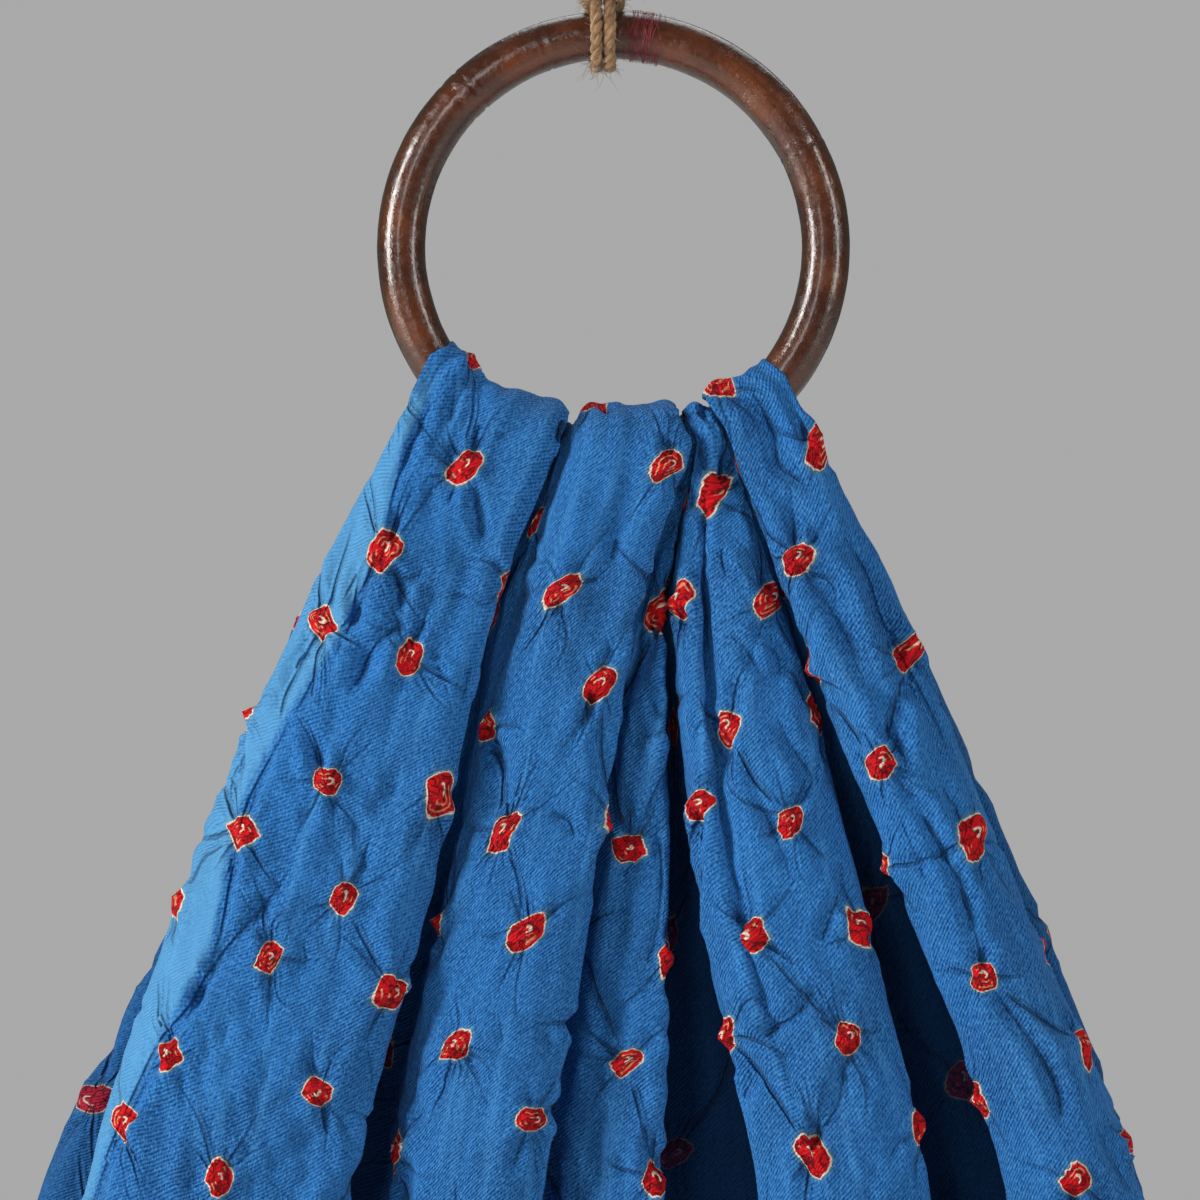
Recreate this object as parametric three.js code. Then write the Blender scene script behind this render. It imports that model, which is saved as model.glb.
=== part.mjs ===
// A cut length of tie-dyed cloth hung over a wooden ring, which hangs from a doubled twine.
// Millimetres, +Z up. The front faces -Y and the ring lies in the XZ plane.
// The origin is the point that bears the twine's loop, straight above the ring.
import * as THREE from 'three';

// Ring: turned wood, a plain torus.
const RING_OUTER_DIAMETER = 100;
const RING_SECTION = 10.2;
const RING_TUBE_RADIUS = RING_SECTION / 2;
const RING_RADIUS = RING_OUTER_DIAMETER / 2 - RING_TUBE_RADIUS;
const RING_TUBE_SIDES = 14;
const RING_STEPS = 60;

// Twine: from the ring's top up to the bearing point.
const TWINE_DIAMETER = 2.4;
const TWINE_SIDES = 8;
const TWINE_STEPS = 80;
const HANG_LENGTH = 26;

// Knot: closes the twine just above the bearing point.
const KNOT_RADIUS = 3.4;
const KNOT_HEIGHT = 6;
const KNOT_SIDES = 16;
// Between the middle of the twine's slanting ends and the knot.
const KNOT_CLEARANCE = 0.7;

// The ring's centre.
const RING_Z = -(HANG_LENGTH + RING_OUTER_DIAMETER / 2);

// Cloth: flat length, thickness, and the heights at which its folds are placed, below the ring's centre.
const CLOTH_LENGTH = 520;
const CLOTH_THICKNESS = 1.0;
const WAIST_BELOW = 74.5;
const MIDDLE_BELOW = 138;
const LOW_BELOW = 201.4;
const HEM_BELOW = 330;
// Past the low level the folds go on spreading, by this share of their slope above it.
const HEM_SPREAD = 0.45;
// Inside a tight fold each face keeps within this share of the fold's radius.
const FOLD_SHARE = 0.7;
const TINY = 1e-6;
// Each fold comes off the ring straight down for this length.
const STRAIGHT_DROP = 6;

// One row for each fold line of the cloth, from the left cut edge to the right one.
// arc and lift: its place over the ring, along the ring's centreline from the bottom, and off the wood.
// Then x and depth (y) at the waist, the middle and the low level, in front and at the back.
// steps: how many slices the cloth has from this fold line to the next.
const COLUMNS = [
  'name', 'arc', 'lift', 'steps',
  'frontWaistX', 'frontWaistY', 'frontMiddleX', 'frontMiddleY', 'frontLowX', 'frontLowY',
  'backWaistX', 'backWaistY', 'backMiddleX', 'backMiddleY', 'backLowX', 'backLowY',
];
const FOLDS = [
  ['leftCutEdge', -46.2, 1.1, 2, -64.2, -3.4, -87.5, 2.0, -107.0, 6.0, -66.0, 3.0, -86.0, 9.5, -108.0, 14.0],
  ['leftReturn', -45.7, 1.1, 1, -64.6, -5.4, -91.0, -1.5, -113.0, 0.0, -67.2, 4.6, -93.0, 11.0, -118.0, 16.0],
  ['leftOutline', -45.0, 1.1, 2, -64.2, -8.0, -91.4, -7.0, -114.0, -8.0, -67.5, 8.0, -95.0, 15.0, -120.5, 21.0],
  ['leftStrip', -41.0, 1.1, 3, -58.0, -11.6, -82.5, -14.5, -104.5, -17.0, -62.0, 12.0, -88.0, 20.5, -112.0, 27.5],
  ['firstOuter', -34.0, 1.6, 3, -48.0, -13.5, -67.5, -17.0, -86.0, -20.0, -53.0, 13.5, -76.0, 23.5, -99.0, 30.5],
  ['firstMiddle', -24.0, 4.0, 2, -36.0, -13.2, -54.0, -16.2, -69.0, -18.5, -43.0, 14.0, -64.0, 23.0, -86.0, 31.5],
  ['firstInner', -16.0, 5.3, 2, -28.0, -14.2, -45.0, -16.4, -60.0, -18.5, -35.0, 14.0, -55.5, 22.0, -76.0, 29.5],
  ['firstEdge', -11.8, 4.2, 2, -24.2, -12.0, -38.8, -12.4, -55.0, -13.6, -30.0, 12.8, -49.5, 19.5, -69.0, 26.0],
  ['firstReturn', -14.2, 2.9, 1, -26.0, -9.6, -43.6, -5.2, -60.5, -4.0, -31.2, 9.4, -53.0, 14.8, -74.5, 20.0],
  ['firstFloorOuter', -14.6, 1.7, 2, -26.2, -6.4, -43.0, -0.4, -59.5, 5.0, -31.0, 6.2, -51.6, 10.0, -72.5, 13.5],
  ['firstFloorInner', -12.7, 1.1, 2, -23.2, -5.8, -37.4, -0.2, -50.5, 7.0, -27.6, 6.0, -45.6, 9.8, -64.0, 13.2],
  ['secondLeft', -10.3, 2.0, 2, -20.0, -8.6, -34.6, -8.6, -44.5, -9.0, -23.0, 8.8, -40.2, 16.0, -57.5, 22.0],
  ['secondOuter', -5.0, 5.2, 3, -13.4, -12.2, -26.0, -14.4, -36.5, -16.5, -16.0, 12.5, -31.5, 21.5, -47.0, 29.5],
  ['secondInner', 6.0, 6.7, 3, -3.4, -13.6, -13.0, -16.2, -25.5, -18.5, -7.6, 14.0, -20.6, 24.0, -33.5, 31.5],
  ['secondEdge', 16.4, 4.6, 2, 5.8, -12.0, -4.4, -12.8, -15.0, -14.5, 1.2, 12.4, -10.4, 20.5, -22.0, 28.0],
  ['secondReturn', 14.8, 3.3, 2, 4.2, -9.4, -8.8, -7.2, -20.5, -6.5, -0.6, 9.4, -14.0, 14.6, -27.2, 20.5],
  ['secondFloor', 14.2, 2.0, 2, 4.6, -6.8, -6.8, -2.8, -15.0, 0.5, -0.2, 6.8, -11.2, 9.6, -22.0, 12.5],
  ['thirdLeft', 15.4, 1.2, 2, 7.4, -5.9, -1.4, -6.6, -8.0, -7.5, 3.0, 6.4, -6.4, 11.0, -15.5, 16.0],
  ['thirdRight', 17.6, 1.2, 2, 10.4, -7.2, 11.6, -9.4, 9.4, -9.5, 7.6, 7.4, 1.6, 14.0, -5.2, 20.0],
  ['thirdReturn', 18.3, 1.1, 2, 10.4, -4.9, 10.4, 0.0, 6.5, 2.0, 8.2, 5.0, 0.8, 8.8, -6.8, 12.5],
  ['middleGapLeft', 18.9, 1.1, 2, 10.6, -2.8, 10.6, 7.0, 9.0, 13.0, 8.7, 3.0, 2.4, 4.8, -4.2, 6.5],
  ['middleGapRight', 19.5, 1.1, 2, 12.9, -2.8, 18.6, 7.2, 30.0, 13.5, 9.7, 3.0, 6.4, 4.8, 3.2, 6.5],
  ['fourthReturn', 20.1, 1.1, 2, 13.3, -5.2, 21.4, 0.2, 36.0, 1.5, 10.4, 5.4, 8.6, 11.0, 5.0, 16.5],
  ['fourthLeft', 20.7, 1.2, 2, 13.4, -8.6, 18.0, -10.0, 31.0, -11.0, 10.4, 8.8, 6.4, 17.0, 1.0, 25.0],
  ['fourthStrip', 21.3, 1.4, 1, 15.6, -10.4, 21.6, -14.6, 38.0, -16.4, 14.0, 11.6, 12.0, 22.0, 9.5, 30.5],
  ['creaseLeft', 21.8, 1.4, 1, 18.0, -10.4, 24.4, -15.8, 42.2, -17.4, 17.6, 12.0, 16.8, 23.0, 15.4, 31.2],
  ['creaseFloor', 22.3, 1.2, 1, 19.4, -6.4, 26.4, -14.0, 44.2, -17.2, 20.0, 11.4, 20.0, 22.6, 20.0, 31.4],
  ['creaseRight', 22.8, 1.3, 2, 21.0, -10.4, 28.4, -16.2, 46.4, -17.8, 22.6, 12.0, 23.4, 23.2, 24.4, 32.0],
  ['fourthInner', 23.4, 1.2, 2, 28.6, -10.8, 41.5, -17.0, 57.0, -18.0, 28.0, 12.0, 32.0, 22.8, 35.6, 31.0],
  ['fourthEdge', 24.0, 1.1, 2, 34.4, -8.0, 52.0, -11.6, 66.6, -13.0, 33.0, 9.8, 38.4, 18.6, 43.4, 26.5],
  ['fourthFarReturn', 24.6, 1.1, 2, 35.6, -5.2, 51.4, -2.0, 64.0, -1.0, 34.4, 6.6, 39.0, 12.0, 42.4, 17.0],
  ['rightGapLeft', 25.1, 1.2, 2, 36.6, -3.2, 52.6, 7.0, 67.0, 13.0, 35.6, 3.6, 40.6, 6.6, 45.0, 9.0],
  ['rightGapRight', 25.8, 1.5, 2, 38.0, -3.6, 62.4, 7.0, 83.0, 13.0, 37.4, 4.0, 46.0, 6.8, 54.0, 9.0],
  ['fifthReturn', 26.7, 2.0, 2, 38.6, -7.4, 65.6, -1.0, 88.5, 1.0, 38.6, 7.6, 49.4, 13.0, 59.2, 18.0],
  ['fifthLeft', 27.6, 2.5, 2, 36.8, -11.6, 61.4, -11.4, 83.4, -11.0, 37.4, 11.6, 46.8, 19.0, 55.0, 26.0],
  ['fifthOuter', 29.2, 2.7, 2, 42.0, -14.0, 67.4, -16.2, 92.0, -17.5, 45.0, 14.2, 57.0, 23.2, 68.5, 31.0],
  ['fifthInner', 32.5, 2.0, 2, 49.0, -13.2, 76.4, -16.4, 102.0, -18.0, 52.0, 14.0, 69.4, 23.0, 86.0, 31.0],
  ['rightStrip', 37.0, 1.3, 2, 55.0, -11.0, 82.4, -12.6, 108.5, -13.5, 57.0, 11.5, 79.4, 19.6, 101.0, 27.0],
  ['rightOutline', 40.2, 1.1, 2, 59.2, -7.2, 85.6, -6.0, 111.5, -6.0, 61.0, 7.5, 85.0, 13.4, 108.5, 19.5],
  ['rightReturn', 40.9, 1.1, 1, 59.6, -4.8, 85.4, -0.6, 111.0, 0.5, 61.2, 5.0, 84.6, 9.6, 107.6, 14.0],
  ['rightCutEdge', 41.4, 1.1, 0, 59.2, -2.8, 81.0, 2.6, 103.0, 5.5, 60.4, 3.0, 81.0, 8.0, 100.0, 12.0],
].map((row) => Object.fromEntries(COLUMNS.map((column, index) => [column, row[index]])));

// Where the cloth is sliced on each side of its crest: first by the turn over the ring, in degrees,
// then by the share of the length that hangs.
const TURNS = [30, 60, 90];
const HANGING_SHARES = [0.02, 0.045, 0.08, 0.13, 0.2, 0.29, 0.4, 0.53, 0.68, 0.84, 1];

// The point of the ring's centreline at a distance along it from the bottom, and the way to the ring's centre.
function ringPoint(arc) {
  const angle = arc / RING_RADIUS;
  return {
    centre: new THREE.Vector3(Math.sin(angle) * RING_RADIUS, 0, RING_Z - Math.cos(angle) * RING_RADIUS),
    inward: new THREE.Vector3(-Math.sin(angle), 0, Math.cos(angle)),
  };
}

// A point of a fold line where it turns over the ring, from its crest at 0 to its side at a quarter turn.
// side is -1 in front and 1 at the back.
function turnPoint(fold, side, turn) {
  const { centre, inward } = ringPoint(fold.arc);
  const reach = RING_TUBE_RADIUS + fold.lift;
  return centre
    .addScaledVector(inward, reach * Math.cos(turn))
    .addScaledVector(new THREE.Vector3(0, side, 0), reach * Math.sin(turn));
}

// The part of a fold line that hangs, from the ring's side to past the hem.
function hangingCurve(fold, side) {
  const face = side < 0 ? 'front' : 'back';
  const station = (level, below) => new THREE.Vector3(
    fold[`${face}${level}X`],
    fold[`${face}${level}Y`],
    RING_Z - below,
  );
  const start = turnPoint(fold, side, Math.PI / 2);
  const waist = station('Waist', WAIST_BELOW);
  const middle = station('Middle', MIDDLE_BELOW);
  const low = station('Low', LOW_BELOW);
  const drop = start.clone().lerp(waist, STRAIGHT_DROP / (start.z - waist.z));
  drop.y = start.y;
  const spread = low.clone().sub(middle).divideScalar(LOW_BELOW - MIDDLE_BELOW);
  const hem = low.clone().addScaledVector(spread, (HEM_BELOW - LOW_BELOW) * HEM_SPREAD);
  hem.z = RING_Z - HEM_BELOW;
  return new THREE.CatmullRomCurve3([start, drop, waist, middle, low, hem], false, 'centripetal');
}

// The points at which every slice on one side meets one fold line, from the ring down to the hem.
function foldPoints(fold, side) {
  const reach = RING_TUBE_RADIUS + fold.lift;
  const curve = hangingCurve(fold, side);
  const hanging = (CLOTH_LENGTH / 2 - reach * Math.PI / 2) / curve.getLength();
  return [
    ...TURNS.map((turn) => turnPoint(fold, side, THREE.MathUtils.degToRad(turn))),
    ...HANGING_SHARES.map((share) => curve.getPointAt(share * hanging)),
  ];
}

// One slice of the cloth, smooth through its point on each fold line, from the left cut edge to the right one.
function slicePoints(foldLinePoints) {
  const curve = new THREE.CatmullRomCurve3(foldLinePoints, false, 'centripetal');
  const points = [];
  FOLDS.forEach((fold, row) => {
    for (let step = 0; step < fold.steps; step += 1) {
      points.push(curve.getPoint((row + step / fold.steps) / (FOLDS.length - 1)));
    }
  });
  points.push(curve.getPoint(1));
  return points;
}

// The whole sheet's middle surface, a grid of points from the back hem over the ring to the front hem.
function clothGrid() {
  const slicesOf = (side) => {
    const lines = FOLDS.map((fold) => foldPoints(fold, side));
    return lines[0].map((_, level) => slicePoints(lines.map((line) => line[level])));
  };
  const crest = slicePoints(FOLDS.map((fold) => turnPoint(fold, 1, 0)));
  return [...slicesOf(1).reverse(), crest, ...slicesOf(-1)];
}

// The sheet's normal at a point of the grid, from its neighbours.
function gridNormal(grid, level, column) {
  const last = grid.length - 1;
  const end = grid[0].length - 1;
  const down = grid[Math.min(level + 1, last)][column].clone().sub(grid[Math.max(level - 1, 0)][column]);
  const across = grid[level][Math.min(column + 1, end)].clone().sub(grid[level][Math.max(column - 1, 0)]);
  return down.cross(across).normalize();
}

// How far one face of the sheet lies off its middle: half the thickness, or less inside a tight fold.
function faceOffset(row, column, normal, half) {
  const point = row[column];
  const before = row[Math.max(column - 1, 0)].clone().sub(point);
  const after = row[Math.min(column + 1, row.length - 1)].clone().sub(point);
  const bend = before.clone().normalize().add(after.clone().normalize());
  const isInside = bend.dot(normal) > 0;
  if (!isInside) {
    return half;
  }
  const radius = Math.min(before.length(), after.length()) / Math.max(bend.length(), TINY);
  return Math.min(half, radius * FOLD_SHARE);
}

// A closed sheet of the given thickness on both sides of a grid of points.
function sheetGeometry(grid, thickness) {
  const levels = grid.length;
  const columns = grid[0].length;
  const positions = [];
  for (const side of [1, -1]) {
    grid.forEach((row, level) => row.forEach((point, column) => {
      const normal = gridNormal(grid, level, column).multiplyScalar(side);
      const shifted = point.clone().addScaledVector(normal, faceOffset(row, column, normal, thickness / 2));
      positions.push(...shifted.toArray());
    }));
  }
  const outer = (level, column) => level * columns + column;
  const inner = (level, column) => outer(level, column) + levels * columns;
  const triangles = [];
  const quad = (a, b, c, d) => triangles.push(a, b, c, a, c, d);
  for (let level = 0; level < levels - 1; level += 1) {
    for (let column = 0; column < columns - 1; column += 1) {
      quad(outer(level, column), outer(level + 1, column), outer(level + 1, column + 1), outer(level, column + 1));
      quad(inner(level, column), inner(level, column + 1), inner(level + 1, column + 1), inner(level + 1, column));
    }
  }
  for (let level = 0; level < levels - 1; level += 1) {
    const end = columns - 1;
    quad(outer(level, 0), inner(level, 0), inner(level + 1, 0), outer(level + 1, 0));
    quad(outer(level, end), outer(level + 1, end), inner(level + 1, end), inner(level, end));
  }
  for (let column = 0; column < columns - 1; column += 1) {
    const end = levels - 1;
    quad(outer(0, column), outer(0, column + 1), inner(0, column + 1), inner(0, column));
    quad(outer(end, column), inner(end, column), inner(end, column + 1), outer(end, column + 1));
  }
  const geometry = new THREE.BufferGeometry();
  geometry.setAttribute('position', new THREE.Float32BufferAttribute(positions, 3));
  geometry.setIndex(triangles);
  geometry.computeVertexNormals();
  return geometry;
}

function clothMesh() {
  const material = new THREE.MeshStandardMaterial({ color: 0x2f6fb4, roughness: 0.9, metalness: 0 });
  const mesh = new THREE.Mesh(sheetGeometry(clothGrid(), CLOTH_THICKNESS), material);
  mesh.name = 'cloth';
  return mesh;
}

function ringMesh() {
  const geometry = new THREE.TorusGeometry(RING_RADIUS, RING_TUBE_RADIUS, RING_TUBE_SIDES, RING_STEPS);
  const material = new THREE.MeshStandardMaterial({ color: 0x4a2415, roughness: 0.3, metalness: 0 });
  const mesh = new THREE.Mesh(geometry, material);
  mesh.name = 'ring';
  mesh.rotation.x = Math.PI / 2;
  mesh.position.z = RING_Z;
  return mesh;
}

// The twine's route, from under the knot down the left strand, round the ring, across in a hitch,
// round the ring again and up the right strand. x, y, z of its middle.
const TWINE_ROUTE = [
  [-1.25, 0, 4.8],
  [-2.4, 0, 1.0],
  [-2.6, 0, -2.5],
  [-2.9, -0.6, -10],
  [-3.4, -1.6, -17],
  [-3.6, -3.0, -21.8],
  [-3.6, -5.6, -26.6],
  [-3.6, -6.7, -31.1],
  [-3.6, -4.7, -35.8],
  [-3.6, 0, -37.8],
  [-3.7, 4.7, -35.8],
  [-3.9, 6.7, -31.1],
  [-4.6, 5.4, -26.4],
  [-5.5, 1.8, -24.2],
  [-5.3, -3.2, -23.2],
  [-3.9, -6.0, -22.4],
  [-2.2, -6.6, -22.2],
  [-0.5, -6.0, -22.4],
  [0.9, -3.2, -23.2],
  [1.1, 1.8, -24.2],
  [0.2, 5.4, -26.4],
  [-0.5, 6.7, -31.1],
  [-0.7, 4.7, -35.8],
  [-0.8, 0, -37.8],
  [-0.8, -4.7, -35.8],
  [-0.8, -6.7, -31.1],
  [-0.8, -5.6, -26.6],
  [-0.8, -3.0, -21.8],
  [-0.2, -1.6, -17],
  [0.9, -0.6, -10],
  [2.2, 0, -2.5],
  [2.4, 0, 1.0],
  [1.25, 0, 4.8],
];

function twineMaterial() {
  return new THREE.MeshStandardMaterial({ color: 0xa88a63, roughness: 0.95, metalness: 0 });
}

function twineMesh() {
  const path = new THREE.CatmullRomCurve3(
    TWINE_ROUTE.map((point) => new THREE.Vector3(...point)),
    false,
    'centripetal',
  );
  const section = new THREE.Shape();
  for (let side = 0; side < TWINE_SIDES; side += 1) {
    const angle = (side / TWINE_SIDES) * Math.PI * 2;
    const x = Math.cos(angle) * TWINE_DIAMETER / 2;
    const y = Math.sin(angle) * TWINE_DIAMETER / 2;
    if (side === 0) {
      section.moveTo(x, y);
    } else {
      section.lineTo(x, y);
    }
  }
  section.closePath();
  const geometry = new THREE.ExtrudeGeometry(section, { steps: TWINE_STEPS, extrudePath: path, bevelEnabled: false });
  const mesh = new THREE.Mesh(geometry, twineMaterial());
  mesh.name = 'twine';
  return mesh;
}

function knotMesh() {
  const bottom = TWINE_ROUTE[0][2] + KNOT_CLEARANCE;
  const profile = [
    [0, 0],
    [KNOT_RADIUS * 0.8, 0],
    [KNOT_RADIUS, KNOT_HEIGHT * 0.25],
    [KNOT_RADIUS, KNOT_HEIGHT * 0.7],
    [KNOT_RADIUS * 0.7, KNOT_HEIGHT],
    [0, KNOT_HEIGHT],
  ].map(([radius, height]) => new THREE.Vector2(radius, height));
  const geometry = new THREE.LatheGeometry(profile, KNOT_SIDES);
  const mesh = new THREE.Mesh(geometry, twineMaterial());
  mesh.name = 'twine_knot';
  mesh.rotation.x = Math.PI / 2;
  mesh.position.z = bottom;
  return mesh;
}

const object = new THREE.Group();
object.add(ringMesh(), twineMesh(), knotMesh(), clothMesh());

export default object;
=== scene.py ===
"""A tie-dyed cotton cloth hung over a lacquered wooden ring, which hangs from a doubled jute twine.

Metres, +Z up. The front faces -Y and the ring lies in the XZ plane.
"""
import logging
import math
from dataclasses import dataclass, field
from enum import Enum

import bmesh
import bpy
import numpy as np
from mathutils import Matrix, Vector


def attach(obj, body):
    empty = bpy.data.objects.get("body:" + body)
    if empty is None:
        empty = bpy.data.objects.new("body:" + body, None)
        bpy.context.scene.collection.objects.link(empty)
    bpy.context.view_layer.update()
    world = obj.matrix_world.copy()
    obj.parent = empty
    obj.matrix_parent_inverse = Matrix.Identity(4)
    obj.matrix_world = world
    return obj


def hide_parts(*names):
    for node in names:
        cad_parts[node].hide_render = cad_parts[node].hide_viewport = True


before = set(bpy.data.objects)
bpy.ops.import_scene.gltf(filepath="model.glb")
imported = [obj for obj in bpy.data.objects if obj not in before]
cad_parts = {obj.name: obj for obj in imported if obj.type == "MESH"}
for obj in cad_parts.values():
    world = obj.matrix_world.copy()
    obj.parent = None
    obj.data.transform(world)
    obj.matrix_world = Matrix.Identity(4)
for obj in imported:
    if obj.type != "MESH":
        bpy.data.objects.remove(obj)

MM = 0.001
BODY = "root"
# The ring's sizes that the pieces on it share: to the middle of its wood, half its section, its centre.
RING_RADIUS = 44.9 * MM
WOOD_RADIUS = 5.1 * MM
RING_Z = -76 * MM
log = logging.getLogger("cloth_on_ring")


class Slot(Enum):
    """The record's material slots."""

    CLOTH = "cloth"
    RING_WOOD = "ring_wood"
    TWINE = "twine"


class Face(Enum):
    """The two sides of the ring on which the cloth hangs, by the sign of Y."""

    FRONT = -1
    BACK = 1


# Helpers for shapes

def smooth_through(points: np.ndarray, where: np.ndarray) -> np.ndarray:
    """Points of a centripetal curve through given points.

    Args:
        points: the points, an array whose first axis runs along the curve and whose last is x, y, z.
        where: places along the curve, from 0 at the first point to the count less one at the last.

    Returns:
        One point for each place, with the other axes of points kept.
    """
    before = 2 * points[:1] - points[1:2]
    after = 2 * points[-1:] - points[-2:-1]
    padded = np.concatenate([before, points, after])
    span = np.clip(where.astype(int), 0, len(points) - 2)
    share = (where - span).reshape((-1,) + (1,) * (points.ndim - 1))
    first, start, end, last = (padded[span + step] for step in range(4))

    def gap(a: np.ndarray, b: np.ndarray) -> np.ndarray:
        """The curve's own measure of the way from a to b."""
        return np.maximum(((b - a) ** 2).sum(-1, keepdims=True) ** 0.25, 1e-6)

    before_gap, this_gap, after_gap = gap(first, start), gap(start, end), gap(end, last)
    leave = (start - first) / before_gap - (end - first) / (before_gap + this_gap) + (end - start) / this_gap
    reach = (end - start) / this_gap - (last - start) / (this_gap + after_gap) + (last - end) / after_gap
    leave = leave * this_gap
    reach = reach * this_gap
    square = -3 * start + 3 * end - 2 * leave - reach
    cube = 2 * start - 2 * end + leave + reach
    return start + leave * share + square * share ** 2 + cube * share ** 3


def lengths_along(points: np.ndarray) -> np.ndarray:
    """The distance of each point from the first, along the line through them (first axis)."""
    steps = np.linalg.norm(np.diff(points, axis=0), axis=-1)
    return np.concatenate([np.zeros((1,) + steps.shape[1:]), np.cumsum(steps, axis=0)])


def evenly_spaced(points: np.ndarray, distances: np.ndarray) -> np.ndarray:
    """Points at given distances along the line through points."""
    along = lengths_along(points)
    return np.stack([np.interp(distances, along, points[:, axis]) for axis in range(3)], axis=-1)


def fade(value: np.ndarray, low: float, high: float) -> np.ndarray:
    """A smooth step from 0 at low to 1 at high."""
    share = np.clip((value - low) / (high - low), 0, 1)
    return share * share * (3 - 2 * share)


class Ripple:
    """Seeded smooth noise on a plane, from about -1 to 1."""

    SIZE = 256

    def __init__(self, seed: int) -> None:
        """Draws the lattice of slopes."""
        angle = np.random.default_rng(seed).uniform(0, 2 * math.pi, (self.SIZE, self.SIZE))
        self.slope = np.stack([np.cos(angle), np.sin(angle)], axis=-1)

    def at(self, x: np.ndarray, y: np.ndarray) -> np.ndarray:
        """The noise at points of the plane.

        Args:
            x: first coordinates, in waves.
            y: second coordinates, in waves.

        Returns:
            The height at each point.
        """
        column, row = np.floor(x).astype(int), np.floor(y).astype(int)
        part_x, part_y = x - column, y - row
        ease_x = part_x ** 3 * (part_x * (part_x * 6 - 15) + 10)
        ease_y = part_y ** 3 * (part_y * (part_y * 6 - 15) + 10)

        def corner(step_x: int, step_y: int) -> np.ndarray:
            """The pull of one corner of the lattice cell."""
            slope = self.slope[(column + step_x) % self.SIZE, (row + step_y) % self.SIZE]
            return slope[..., 0] * (part_x - step_x) + slope[..., 1] * (part_y - step_y)

        low = corner(0, 0) * (1 - ease_x) + corner(1, 0) * ease_x
        high = corner(0, 1) * (1 - ease_x) + corner(1, 1) * ease_x
        return 1.5 * (low * (1 - ease_y) + high * ease_y)


def mount_piece(obj: bpy.types.Object, material: bpy.types.Material) -> bpy.types.Object:
    """Gives a piece its finish and puts it on the body.

    Args:
        obj: the piece, already linked to the scene.
        material: its finish.

    Returns:
        The same piece.
    """
    obj.data.materials.clear()
    obj.data.materials.append(material)
    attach(obj, BODY)
    return obj


def smooth_object(name: str, data: bpy.types.Mesh) -> bpy.types.Object:
    """Shades a mesh smooth and puts it in the scene.

    Args:
        name: the object's name.
        data: its mesh.

    Returns:
        The object.
    """
    data.shade_smooth()
    obj = bpy.data.objects.new(name, data)
    bpy.context.collection.objects.link(obj)
    return obj


def object_from_bmesh(name: str, mesh: bmesh.types.BMesh) -> bpy.types.Object:
    """A smooth-shaded object in the scene from a bmesh, which is freed.

    Args:
        name: the object's name.
        mesh: its shape.

    Returns:
        The object.
    """
    data = bpy.data.meshes.new(name)
    mesh.to_mesh(data)
    mesh.free()
    return smooth_object(name, data)


def write_flat(data: bpy.types.Mesh, flat: np.ndarray) -> None:
    """Writes the UV map flat, in metres, corner by corner."""
    data.uv_layers.new(name="flat").data.foreach_set("uv", flat.astype(np.float32).ravel())


def write_mark(data: bpy.types.Mesh, name: str, domain: str, values: np.ndarray) -> None:
    """Writes an attribute of numbers, or of vectors where the values' last axis is 3.

    Args:
        data: the mesh.
        name: the attribute's name.
        domain: POINT or CORNER.
        values: what it holds.
    """
    kind, key = ("FLOAT_VECTOR", "vector") if values.ndim > 1 else ("FLOAT", "value")
    mark = data.attributes.new(name, kind, domain)
    mark.data.foreach_set(key, values.astype(np.float32).ravel())


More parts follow.
